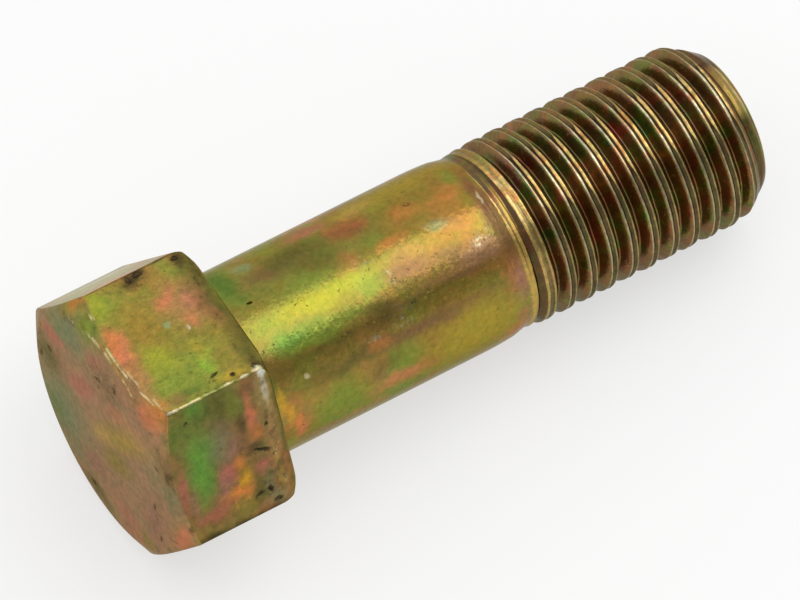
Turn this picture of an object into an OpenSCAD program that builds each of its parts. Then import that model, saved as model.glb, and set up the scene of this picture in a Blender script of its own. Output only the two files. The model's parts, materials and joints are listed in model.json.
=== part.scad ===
// Hexagon head bolt with a part threaded shank, lying at rest on one flat of its head.
// The bolt is built upright: z = 0 is the bearing face under the head, the head reaches
// down from it and the shank up. It is then laid down, its tip towards +X.

/* [Head] */
// Distance across the flats of the hexagon
head_across_flats = 13.7; // [13:0.05:15]
// Height of the head along the bolt's axis
head_height = 6.8; // [5:0.05:9]
// Diameter of the flat circle on the end face of the head
end_circle_diameter = 13.2; // [11:0.05:13.4]
// Slope of the chamfer round the end face
end_chamfer_angle = 28; // [15:1:35]
// Length of the eased edge between a flat and the bearing face, along the axis
eased_edge_length = 0.8; // [0.2:0.05:1.5]
// Depth of that eased edge, across the flats
eased_edge_depth = 0.35; // [0.1:0.05:0.7]
// Diameter of the circle that trims the corners of the bearing face
bearing_diameter = 14; // [12:0.05:14.6]
// Slope of the chamfer that takes off those corners
bearing_chamfer_angle = 45; // [30:0.5:60]
// Radius of the fillet between the bearing face and the shank
underhead_fillet = 0.45; // [0.2:0.05:0.8]

/* [Shank] */
// Diameter of the plain shank
shank_diameter = 10; // [9.9:0.05:10.6]
// Length of the full size shank, from the bearing face
plain_length = 13.15; // [8:0.05:14.1]
// Distance from the bearing face to the shoulder where the taper steepens
shoulder_start = 14.75; // [14.2:0.05:15.2]
// Diameter of the shank at that shoulder
shoulder_diameter = 9.86; // [9.7:0.02:9.9]
// Diameter of the shank where it meets the thread
neck_diameter = 9.48; // [9.3:0.02:9.6]

/* [Thread] */
// Distance from the bearing face to the start of the thread
thread_start = 15.65; // [15.4:0.05:18]
// Length of the bolt under the head
bolt_length = 30.35; // [26:0.05:45]
// Diameter over the crests of the thread
thread_diameter = 9.88; // [9.7:0.02:9.96]
// Distance from one crest to the next
thread_pitch = 1.25; // [1:0.05:1.5]
// Depth of the thread
thread_depth = 0.62; // [0.4:0.02:0.7]
// Width of the flat crest
crest_width = 0.42; // [0.15:0.01:0.5]
// Width of the flat root
root_width = 0.13; // [0.08:0.01:0.2]
// Length over which the crests rise to full height
crest_run_in = 1.1; // [0.5:0.1:2]
// Length over which the roots sink to full depth
root_run_in = 2.3; // [1:0.1:4]
// Place of the crest line along the underside, as a distance from the bearing face
crest_line_offset = 0.65; // [0:0.05:1]

/* [Tip] */
// Diameter of the flat end of the tip
tip_diameter = 7.8; // [6.5:0.1:8.2]
// Slope of the tip's chamfer against the bolt's axis
tip_chamfer_angle = 27; // [20:1:40]

/* [Hidden] */
$fn = 96;

// Columns of points round the thread
segments = 48;
// How far the thread's core reaches into the neck
core_overlap = 0.4;
// Step from the neck's edge down to the thread's core
neck_step = 0.04;
plating = [0.60, 0.56, 0.27];

// Head
flat_distance = head_across_flats / 2;
corner_radius = flat_distance / cos(30);
end_circle_radius = end_circle_diameter / 2;
bearing_radius = bearing_diameter / 2;
shank_radius = shank_diameter / 2;
head_margin = 1;
end_rim_rise = (corner_radius + head_margin - end_circle_radius) * tan(end_chamfer_angle);
bearing_rim_drop = (corner_radius + head_margin - bearing_radius) * tan(bearing_chamfer_angle);

// Thread
crest_radius = thread_diameter / 2;
root_radius = crest_radius - thread_depth;
core_radius = neck_diameter / 2 - neck_step;
flank_width = (thread_pitch - crest_width - root_width) / 2;
tip_radius = tip_diameter / 2;
core_start = thread_start - core_overlap;
// Helical lines of one turn: crest start, crest end, root start, root end
line_offsets = [-crest_width / 2, crest_width / 2, crest_width / 2 + flank_width,
                crest_width / 2 + flank_width + root_width];
line_margin = 0.2 * thread_pitch / segments;

function blend(a, b, t) = a + (b - a) * min(1, max(0, t));
function tip_limit(z) = tip_radius + (bolt_length - z) * tan(tip_chamfer_angle);
function crest_at(z) =
    min(blend(core_radius, crest_radius, (z - thread_start) / crest_run_in), tip_limit(z));
function root_at(z) =
    min(blend(core_radius, root_radius, (z - thread_start) / root_run_in), tip_limit(z));

// Height of helical line g at column j: each column is one step round the bolt
function line_z(g, j) =
    crest_line_offset + line_offsets[g % 4] + thread_pitch * (floor(g / 4) + j / segments);
function line_point(g, j) =
    let (z = line_z(g, j), r = g % 4 < 2 ? crest_at(z) : root_at(z), a = 360 * j / segments)
    [r * cos(a), r * sin(a), z];
function ring_point(r, j, z) = [r * cos(360 * j / segments), r * sin(360 * j / segments), z];

low_turn = floor((core_start - crest_line_offset) / thread_pitch) - 2;
high_turn = ceil((bolt_length - crest_line_offset) / thread_pitch) + 2;
// First and last helical line that column j crosses between the core's start and the tip
function lines_of(j) = [for (g = [4 * low_turn : 4 * high_turn])
    if (line_z(g, j) > core_start + line_margin && line_z(g, j) < bolt_length - line_margin) g];
line_lists = [for (j = [0 : segments - 1]) lines_of(j)];
first_line = [for (j = [0 : segments - 1]) line_lists[j][0]];
last_line = [for (j = [0 : segments - 1]) line_lists[j][len(line_lists[j]) - 1]];

// Each column holds a point on the start ring, its line points and a point on the tip ring
column_size = [for (j = [0 : segments - 1]) last_line[j] - first_line[j] + 3];
column_start = [for (j = 0, s = 0; j < segments; s = s + column_size[j], j = j + 1) s];
point_total = column_start[segments - 1] + column_size[segments - 1];

thread_points = concat(
    [for (j = [0 : segments - 1]) each concat(
        [ring_point(core_radius, j, core_start)],
        [for (g = [first_line[j] : last_line[j]]) line_point(g, j)],
        [ring_point(tip_radius, j, bolt_length)])],
    [[0, 0, core_start], [0, 0, bolt_length]]);

// The last column meets the first one a full pitch on, which is four lines later
function wrap(j) = j % segments;
function shift(j) = j == segments ? 4 : 0;
function start_index(j) = column_start[wrap(j)];
function end_index(j) = column_start[wrap(j)] + column_size[wrap(j)] - 1;
function line_index(g, j) = column_start[wrap(j)] + 1 + g + shift(j) - first_line[wrap(j)];
function first_of(j) = first_line[wrap(j)] - shift(j);
function last_of(j) = last_line[wrap(j)] - shift(j);

// Faces between column j and the next: a line may enter at the start or leave at the tip
function strip(j) =
    let (k = j + 1, low = first_of(j), high = last_of(k))
    concat(
        first_of(k) < low
            ? [[start_index(j), line_index(first_of(k), k), start_index(k)],
               [start_index(j), line_index(low, j), line_index(low, k)],
               [start_index(j), line_index(low, k), line_index(first_of(k), k)]]
            : [[start_index(j), line_index(low, j), line_index(low, k)],
               [start_index(j), line_index(low, k), start_index(k)]],
        [for (g = [low : high - 1]) each
            [[line_index(g, j), line_index(g + 1, j), line_index(g + 1, k)],
             [line_index(g, j), line_index(g + 1, k), line_index(g, k)]]],
        last_of(j) > high
            ? [[line_index(high, j), line_index(high + 1, j), end_index(k)],
               [line_index(high, j), end_index(k), line_index(high, k)],
               [line_index(high + 1, j), end_index(j), end_index(k)]]
            : [[line_index(high, j), end_index(j), end_index(k)],
               [line_index(high, j), end_index(k), line_index(high, k)]],
        [[point_total, start_index(j), start_index(k)],
         [point_total + 1, end_index(k), end_index(j)]]);

thread_faces = [for (j = [0 : segments - 1]) each strip(j)];

// The bolt rests on the end of one flat, where its eased edge begins, and on the lowest
// crest near its tip
rest_tilt = min([for (g = [first_line[0] : last_line[0]]) if (g % 4 < 2)
    atan2(flat_distance - line_point(g, 0)[0], line_z(g, 0) + eased_edge_length)]);
rest_height = flat_distance * cos(rest_tilt) - eased_edge_length * sin(rest_tilt);
rest_shift = (head_height * cos(rest_tilt) + end_circle_radius * sin(rest_tilt)
    - bolt_length * cos(rest_tilt) - tip_radius * sin(rest_tilt)) / 2;

// Two opposite flats with their eased edges, as a long bar across the head
module flat_pair() {
    rotate([90, 0, 0])
        linear_extrude(height = 2 * (corner_radius + head_margin), center = true)
        polygon([
            [-flat_distance, -head_height],
            [flat_distance, -head_height],
            [flat_distance, -eased_edge_length],
            [flat_distance - eased_edge_depth, 0],
            [eased_edge_depth - flat_distance, 0],
            [-flat_distance, -eased_edge_length]]);
}

// Hexagon where three pairs of flats meet, trimmed by the end chamfer and at its corners
module head() {
    intersection() {
        flat_pair();
        rotate([0, 0, 60])
            flat_pair();
        rotate([0, 0, 120])
            flat_pair();
        rotate_extrude()
            polygon([
                [0, -head_height],
                [end_circle_radius, -head_height],
                [corner_radius + head_margin, -head_height + end_rim_rise],
                [corner_radius + head_margin, -bearing_rim_drop],
                [bearing_radius, 0],
                [0, 0]]);
    }
}

// Plain shank with its fillet under the head and its taper down to the thread
module shank() {
    difference() {
        rotate_extrude()
            polygon([
                [0, -head_height / 2],
                [shank_radius + underhead_fillet, -head_height / 2],
                [shank_radius + underhead_fillet, 0],
                [shank_radius + underhead_fillet, underhead_fillet],
                [shank_radius, underhead_fillet],
                [shank_radius, plain_length],
                [shoulder_diameter / 2, shoulder_start],
                [neck_diameter / 2, thread_start],
                [0, thread_start]]);
        rotate_extrude()
            translate([shank_radius + underhead_fillet, underhead_fillet])
            circle(r = underhead_fillet, $fn = 48);
    }
}

// Thread with its run-in and its chamfered tip, one closed solid
module thread() {
    polyhedron(points = thread_points, faces = thread_faces, convexity = 10);
}

module hex_bolt() {
    color(plating)
        translate([rest_shift, 0, rest_height])
        rotate([0, 90 + rest_tilt, 0]) {
            head();
            shank();
            thread();
        }
}

hex_bolt();
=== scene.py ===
"""Builds the looks of a hexagon head bolt: its surface, its finish, the floor, light and camera.

The bolt is modelled upright in millimetres, with its bearing face at height 0, its head below
and its shank above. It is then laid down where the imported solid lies, in metres.
"""

import json
import logging
import math
import random
from dataclasses import dataclass, field
from enum import Enum
from typing import Callable, Sequence

import bpy
from mathutils import Euler, Matrix, Vector, noise


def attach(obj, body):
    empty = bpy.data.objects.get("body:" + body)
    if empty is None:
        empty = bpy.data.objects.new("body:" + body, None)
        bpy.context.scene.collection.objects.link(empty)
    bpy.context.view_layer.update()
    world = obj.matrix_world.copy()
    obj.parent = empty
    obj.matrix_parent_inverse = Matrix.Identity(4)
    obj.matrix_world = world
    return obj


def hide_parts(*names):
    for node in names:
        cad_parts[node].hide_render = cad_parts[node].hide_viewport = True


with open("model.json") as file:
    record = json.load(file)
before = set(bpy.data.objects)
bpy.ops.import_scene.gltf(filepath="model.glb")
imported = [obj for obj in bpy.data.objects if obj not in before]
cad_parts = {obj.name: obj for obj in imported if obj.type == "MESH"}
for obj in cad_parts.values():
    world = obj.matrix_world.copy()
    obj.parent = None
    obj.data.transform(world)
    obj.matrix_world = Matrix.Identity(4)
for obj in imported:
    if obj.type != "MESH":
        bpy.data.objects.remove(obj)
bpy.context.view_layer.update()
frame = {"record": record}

LOG = logging.getLogger("bolt")
NODE = "hex_bolt"
METRES_PER_MM = 0.001
FULL_TURN = 2 * math.pi
ORIGIN = (0.0, 0.0, 0.0)
UPWARD = (0.0, 0.0, 1.0)
LEVEL = (1.0, 1.0, 0.0)

# Points closer than the first are merged, and heights closer than the second count as equal
MERGE_MM = 0.0005
NEAR_MM = 0.01

# A face whose normal rises by more than this faces up
FACES_UP = 0.9

# Angle given to an edge that has only one face
OPEN_ANGLE = 180.0

# How far below the end face and below a flat the bottom of a pit still belongs to it
END_PIT_MM = 0.12
FLAT_PIT_MM = 0.05

# A point belongs to a flat when its direction from the axis is within this cosine of it
FLAT_COSINE = 0.862

# How much further than the round surface curves away a patch on it reaches inwards
SAG_ALLOWANCE = 1.4

# What the film, the bare metal and the thread look like at a glancing angle
FILM_GLANCE = (0.72, 0.66, 0.55, 1.0)
METAL_GLANCE = (1.0, 1.0, 0.98, 1.0)
THREAD_GLANCE = (0.67, 0.65, 0.6, 1.0)

# The curve of display colours: a straight piece up to the knee, then a power
DISPLAY_KNEE = 0.04045
DISPLAY_SLOPE = 12.92
DISPLAY_SHIFT = 0.055
DISPLAY_POWER = 2.4

Outline = Sequence[tuple[float, float]]
Colour = tuple[float, float, float, float]
Sockets = dict[str, bpy.types.NodeSocket]


def blend(low: float, high: float, share: float) -> float:
    """Goes evenly from low to high as share goes from 0 to 1.

    Args:
        low: Value at a share of 0 or less.
        high: Value at a share of 1 or more.
        share: How far to go.

    Returns:
        The value in between.
    """
    return low + (high - low) * min(1.0, max(0.0, share))


def soft_minimum(a: float, b: float, width: float) -> float:
    """Gives the lower of two values, rounded over where they cross.

    Args:
        a: First value.
        b: Second value.
        width: Width of the rounding.

    Returns:
        The rounded lower value.
    """
    share = max(width - abs(a - b), 0.0) / width
    return min(a, b) - share * share * width / 4


def grey(level: float) -> Colour:
    """Gives a grey of one level."""
    return (level, level, level, 1.0)


class Operation(Enum):
    """Ways to combine two closed pieces."""

    ADD = "UNION"
    CUT = "DIFFERENCE"
    KEEP_SHARED = "INTERSECT"


class Element(Enum):
    """What is selected while a piece is open."""

    POINT = "VERT"
    EDGE = "EDGE"
    FACE = "FACE"


class Bench:
    """The hand tools: each call works on one piece with Blender's own operators."""

    @staticmethod
    def clear_selection() -> None:
        """Leaves nothing selected and every piece in object mode."""
        if bpy.context.object and bpy.context.object.mode != "OBJECT":
            bpy.ops.object.mode_set(mode="OBJECT")
        bpy.ops.object.select_all(action="DESELECT")

    @staticmethod
    def take(piece: bpy.types.Object) -> None:
        """Makes a piece the only selected and the active one.

        Args:
            piece: The piece to work on.
        """
        Bench.clear_selection()
        piece.select_set(True)
        bpy.context.view_layer.objects.active = piece

    @staticmethod
    def open(
        piece: bpy.types.Object, kind: Element = Element.POINT, everything: bool = False
    ) -> None:
        """Takes a piece into edit mode.

        Args:
            piece: The piece to edit.
            kind: What is selected there.
            everything: Whether all of it is selected.
        """
        Bench.take(piece)
        Bench.resume()
        bpy.ops.mesh.select_mode(type=kind.value)
        bpy.ops.mesh.select_all(action="SELECT" if everything else "DESELECT")

    @staticmethod
    def resume() -> None:
        """Goes into edit mode with the selection as it is."""
        bpy.ops.object.mode_set(mode="EDIT")

    @staticmethod
    def close() -> None:
        """Goes back to object mode."""
        bpy.ops.object.mode_set(mode="OBJECT")

    @staticmethod
    def select_points(piece: bpy.types.Object, wanted: Callable[[Vector], bool]) -> None:
        """Opens a piece with the wanted points selected.

        Args:
            piece: The piece to edit.
            wanted: Says whether a point is wanted, from its place.
        """
        Bench.open(piece, Element.POINT)
        Bench.close()
        for vertex in piece.data.vertices:
            vertex.select = wanted(vertex.co)
        Bench.resume()

    @staticmethod
    def select_faces(piece: bpy.types.Object, wanted: Callable[[Vector], bool]) -> None:
        """Opens a piece with the wanted faces selected.

        Args:
            piece: The piece to edit.
            wanted: Says whether a face is wanted, from its normal.
        """
        Bench.open(piece, Element.FACE)
        Bench.close()
        for face in piece.data.polygons:
            face.select = wanted(face.normal)
        Bench.resume()

    @staticmethod
    def select_edges(
        piece: bpy.types.Object, wanted: Callable[[Vector, Vector, float], bool]
    ) -> None:
        """Opens a piece with the wanted edges selected.

        Args:
            piece: The piece to edit.
            wanted: Says whether an edge is wanted, from its two ends and the angle in degrees
                between its two faces.
        """
        Bench.open(piece, Element.EDGE)
        Bench.close()
        mesh = piece.data
        normals: dict[tuple[int, int], list[Vector]] = {}
        for face in mesh.polygons:
            for key in face.edge_keys:
                normals.setdefault(key, []).append(face.normal.copy())
        for edge in mesh.edges:
            sides = normals.get(tuple(sorted(edge.vertices)), [])
            paired = len(sides) == 2
            angle = math.degrees(sides[0].angle(sides[1], 0.0)) if paired else OPEN_ANGLE
            low, high = (mesh.vertices[i].co for i in edge.vertices)
            edge.select = wanted(low, high, angle)
        Bench.resume()

    @staticmethod
    def weld() -> None:
        """Merges all points of the open piece that lie in one place."""
        bpy.ops.mesh.select_all(action="SELECT")
        bpy.ops.mesh.remove_doubles(threshold=MERGE_MM)

    @staticmethod
    def round_selection(width: float, segments: int = 3) -> None:
        """Rounds the selected edges of the open piece."""
        bpy.ops.mesh.bevel(offset=width, segments=segments, profile=0.5, clamp_overlap=False)

    @staticmethod
    def cut_level(height: float, keep_above: bool) -> None:
        """Cuts the open piece level and drops one side of it.

        Args:
            height: Height of the cut.
            keep_above: Whether the upper side stays, open at the cut, and not the lower one,
                which is closed there.
        """
        bpy.ops.mesh.select_all(action="SELECT")
        bpy.ops.mesh.bisect(
            plane_co=(0.0, 0.0, height), plane_no=UPWARD, clear_inner=keep_above,
            clear_outer=not keep_above, use_fill=not keep_above,
        )

    @staticmethod
    def draw_outline(name: str, outline: Outline) -> bpy.types.Object:
        """Draws a line of edges in the plane of the bolt's axis.

        Args:
            name: Name of the piece.
            outline: Points as (radius, height) in millimetres.

        Returns:
            The piece, with its edges only.
        """
        Bench.clear_selection()
        bpy.ops.mesh.primitive_plane_add(size=1.0, location=ORIGIN)
        piece = bpy.context.object
        piece.name = name
        Bench.open(piece, everything=True)
        bpy.ops.mesh.merge(type="CENTER")
        radius, height = outline[0]
        bpy.ops.transform.translate(value=(radius, 0.0, height))
        for next_radius, next_height in outline[1:]:
            step = (next_radius - radius, 0.0, next_height - height)
            bpy.ops.mesh.extrude_vertices_move(TRANSFORM_OT_translate={"value": step})
            radius, height = next_radius, next_height
        Bench.close()
        return piece

    @staticmethod
    def lathe(name: str, outline: Outline, steps: int, start: float = 0.0) -> bpy.types.Object:
        """Turns an outline round the bolt's axis.

        Args:
            name: Name of the piece.
            outline: Points as (radius, height) in millimetres.
            steps: Faces in one turn.
            start: Angle of the first column, in radians.

        Returns:
            The turned piece.
        """
        piece = Bench.draw_outline(name, outline)
        Bench.open(piece, everything=True)
        bpy.ops.mesh.spin(steps=steps, angle=FULL_TURN, center=ORIGIN, axis=UPWARD)
        Bench.weld()
        bpy.ops.mesh.normals_make_consistent(inside=False)
        Bench.close()
        if start:
            piece.rotation_euler = (0.0, 0.0, start)
            bpy.ops.object.transform_apply(location=False, rotation=True, scale=False)
        return piece

    @staticmethod
    def apply(piece: bpy.types.Object, kind: str, **settings: object) -> None:
        """Gives a piece one modifier and applies it.

        Args:
            piece: The piece to change.
            kind: The modifier's type.
            **settings: The modifier's settings.
        """
        Bench.take(piece)
        modifier = piece.modifiers.new(kind.title(), kind)
        for key, value in settings.items():
            setattr(modifier, key, value)
        bpy.ops.object.modifier_apply(modifier=modifier.name)

    @staticmethod
    def combine(piece: bpy.types.Object, other: bpy.types.Object, how: Operation) -> None:
        """Adds, cuts or keeps what two closed pieces share, and drops the second one.

        Args:
            piece: The piece to change.
            other: The piece that changes it.
            how: What is done with them.
        """
        Bench.apply(
            piece, "BOOLEAN", operation=how.value, solver="EXACT", object=other, use_self=False
        )
        bpy.data.objects.remove(other)

    @staticmethod
    def join(pieces: Sequence[bpy.types.Object]) -> bpy.types.Object:
        """Makes one piece of several, without merging anything.

        Args:
            pieces: The pieces, of which the first keeps its name.

        Returns:
            The joined piece.
        """
        Bench.take(pieces[0])
        for piece in pieces[1:]:
            piece.select_set(True)
        bpy.ops.object.join()
        return pieces[0]


@dataclass(frozen=True)
class Lie:
    """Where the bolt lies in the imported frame, read from its mounts."""

    bearing_centre: Vector
    tilt: float

    @classmethod
    def from_frame(cls, record: dict, head_height: float) -> "Lie":
        """Works out the place from the mount on the end of the head.

        Args:
            record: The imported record.
            head_height: Height of the head in millimetres.

        Returns:
            The place of the bolt.
        """
        mount = next(m for m in record["mounts"] if m["name"] == "end_face")
        axis = -Vector(mount["axis"])
        centre = Vector(mount["pos_m"]) + axis * head_height * METRES_PER_MM
        return cls(centre, math.atan2(-axis.z, axis.x))

    @property
    def turn(self) -> Euler:
        """Turn from upright to lying."""
        return Euler((0.0, math.pi / 2 + self.tilt, 0.0))

    @property
    def matrix(self) -> Matrix:
        """Gives the move from the upright bolt in millimetres to its place in metres.

        Returns:
            The matrix of the move.
        """
        return (
            Matrix.Translation(self.bearing_centre)
            @ self.turn.to_matrix().to_4x4()
            @ Matrix.Scale(METRES_PER_MM, 4)
        )


@dataclass
class Head:
    """Hexagon head with a chamfered end and a softly rounded bearing side."""

    across_flats: float = 13.7
    height: float = 6.8
    end_circle: float = 13.2
    end_chamfer: float = 28.0
    eased_length: float = 0.8
    eased_depth: float = 0.35
    corner_curve: float = 1.3
    corner_centre: float = 6.7
    curve_steps: int = 8
    bearing_round: float = 0.22
    eased_round: float = 0.3
    corner_round: float = 0.12
    rim_round: float = 0.12
    rim_ease: float = 0.15
    rim_steps: int = 3
    rim_zone: float = 2.0
    rim_slant: float = 0.5
    bearing_angle: float = 20.0
    sharp_angle: float = 40.0
    overshoot: float = 0.4
    steps: int = 96

    @property
    def flat_distance(self) -> float:
        """Distance from the axis to a flat."""
        return self.across_flats / 2

    @property
    def corner_radius(self) -> float:
        """Distance from the axis to a corner."""
        return self.flat_distance / math.cos(math.pi / 6)

    def prism(self) -> bpy.types.Object:
        """Makes the hexagon bar with its eased edges on the bearing side.

        Returns:
            The bar, a little too long at the end of the head.
        """
        length = self.height + self.overshoot
        Bench.clear_selection()
        bpy.ops.mesh.primitive_cylinder_add(
            vertices=6, radius=self.corner_radius, depth=length, location=(0.0, 0.0, -length / 2)
        )
        bar = bpy.context.object
        bar.name = "head"
        Bench.take(bar)
        bpy.ops.object.transform_apply(location=True, rotation=True, scale=True)
        Bench.select_faces(bar, lambda normal: normal.z > FACES_UP)
        bpy.ops.mesh.inset(thickness=self.eased_depth, use_boundary=True)
        Bench.close()
        rim = self.corner_radius - self.eased_depth / 2
        Bench.select_points(
            bar, lambda place: place.z > -self.overshoot and place.xy.length > rim
        )
        bpy.ops.transform.translate(value=(0.0, 0.0, -self.eased_length))
        Bench.close()
        return bar

    def round_edges(self, bar: bpy.types.Object) -> None:
        """Rounds the bearing side and the long edges between the flats.

        Args:
            bar: The hexagon bar.
        """
        Bench.select_edges(
            bar, lambda a, b, angle: min(a.z, b.z) > -NEAR_MM and angle > self.bearing_angle
        )
        Bench.round_selection(self.bearing_round, segments=4)
        Bench.close()
        level = -self.eased_length
        Bench.select_edges(
            bar, lambda a, b, angle: max(abs(a.z - level), abs(b.z - level)) < NEAR_MM
        )
        Bench.round_selection(self.eased_round)
        Bench.close()
        Bench.select_edges(
            bar, lambda a, b, angle: angle > self.sharp_angle and max(a.z, b.z) < NEAR_MM
            and abs(a.z - b.z) > self.eased_depth / 4
        )
        Bench.round_selection(self.corner_round)
        Bench.close()

    def trimmer(self) -> bpy.types.Object:
        """Makes the turned body that gives the head its two chamfers.

        Returns:
            A closed body that the bar is cut down to.
        """
        wide = self.corner_centre + self.corner_curve
        end = self.end_circle / 2
        slope = math.radians(self.end_chamfer)
        ease = self.rim_ease
        lift = ease * math.sin(slope)
        outline = [(0.0, -self.height)]
        for step in range(self.rim_steps):
            share = step / self.rim_steps
            outline.append((end + ease * (2 * share - 1), -self.height + lift * share * share))
        outline.append((end + ease * math.cos(slope), -self.height + lift))
        outline.append((wide, -self.height + (wide - end) * math.tan(slope)))
        for step in range(self.curve_steps + 1):
            angle = math.pi / 2 * step / self.curve_steps
            outline.append((
                self.corner_centre + self.corner_curve * math.cos(angle),
                self.corner_curve * (math.sin(angle) - 1.0),
            ))
        outline += [(self.corner_centre, self.overshoot), (0.0, self.overshoot)]
        return Bench.lathe("trimmer", outline, self.steps, start=math.pi / self.steps)

    def build(self) -> bpy.types.Object:
        """Makes the whole head.

        Returns:
            The closed head.
        """
        bar = self.prism()
        self.round_edges(bar)
        Bench.combine(bar, self.trimmer(), Operation.KEEP_SHARED)
        lowest = -self.height + self.rim_zone
        Bench.select_edges(
            bar, lambda a, b, angle: angle > self.sharp_angle and max(a.z, b.z) < lowest
            and abs(a.z - b.z) < self.rim_slant
        )
        Bench.round_selection(self.rim_round)
        Bench.weld()
        Bench.close()
        return bar


@dataclass
class Shank:
    """Plain shank from inside the head to the neck, where the thread takes over."""

    diameter: float = 10.0
    plain_length: float = 13.15
    shoulder_start: float = 14.75
    shoulder_diameter: float = 9.86
    neck_diameter: float = 9.48
    thread_start: float = 15.65
    fillet: float = 0.45
    fillet_end: float = 82.0
    fillet_steps: int = 8
    root_depth: float = 1.5
    first_ring: float = 1.0
    ring_gap: float = 1.5
    plain_rings: int = 9
    taper_rings: tuple[float, ...] = (13.4, 13.8, 14.2, 14.5, 14.75, 14.9, 15.05)
    thread_joint: float = 15.2
    steps: int = 144

    def radius_at(self, height: float) -> float:
        """Gives the radius of the plain shank, its taper and its neck.

        Args:
            height: Distance from the bearing face.

        Returns:
            Radius in millimetres.
        """
        if height < self.shoulder_start:
            share = (height - self.plain_length) / (self.shoulder_start - self.plain_length)
            share = max(0.0, share)
            return blend(self.diameter, self.shoulder_diameter, share * share) / 2
        share = (height - self.shoulder_start) / (self.thread_start - self.shoulder_start)
        return blend(self.shoulder_diameter, self.neck_diameter, share) / 2

    def outline(self) -> list[tuple[float, float]]:
        """Draws the shank's side from inside the head up to the joint with the thread.

        Returns:
            Points as (radius, height).
        """
        radius = self.diameter / 2
        points = [(0.0, -self.root_depth)]
        for step in range(self.fillet_steps + 1):
            angle = math.radians(self.fillet_end * (1 - step / self.fillet_steps))
            points.append((
                radius + self.fillet * (1 - math.cos(angle)),
                self.fillet * (1 - math.sin(angle)),
            ))
        points.insert(1, (points[1][0], -self.root_depth))
        heights = [self.first_ring + self.ring_gap * step for step in range(self.plain_rings)]
        heights += [*self.taper_rings, self.thread_joint]
        points += [(self.radius_at(height), height) for height in heights]
        return points

    def build(self) -> bpy.types.Object:
        """Turns the shank.

        Returns:
            The shank, open at the joint with the thread.
        """
        return Bench.lathe("shank", self.outline(), self.steps)


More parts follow.
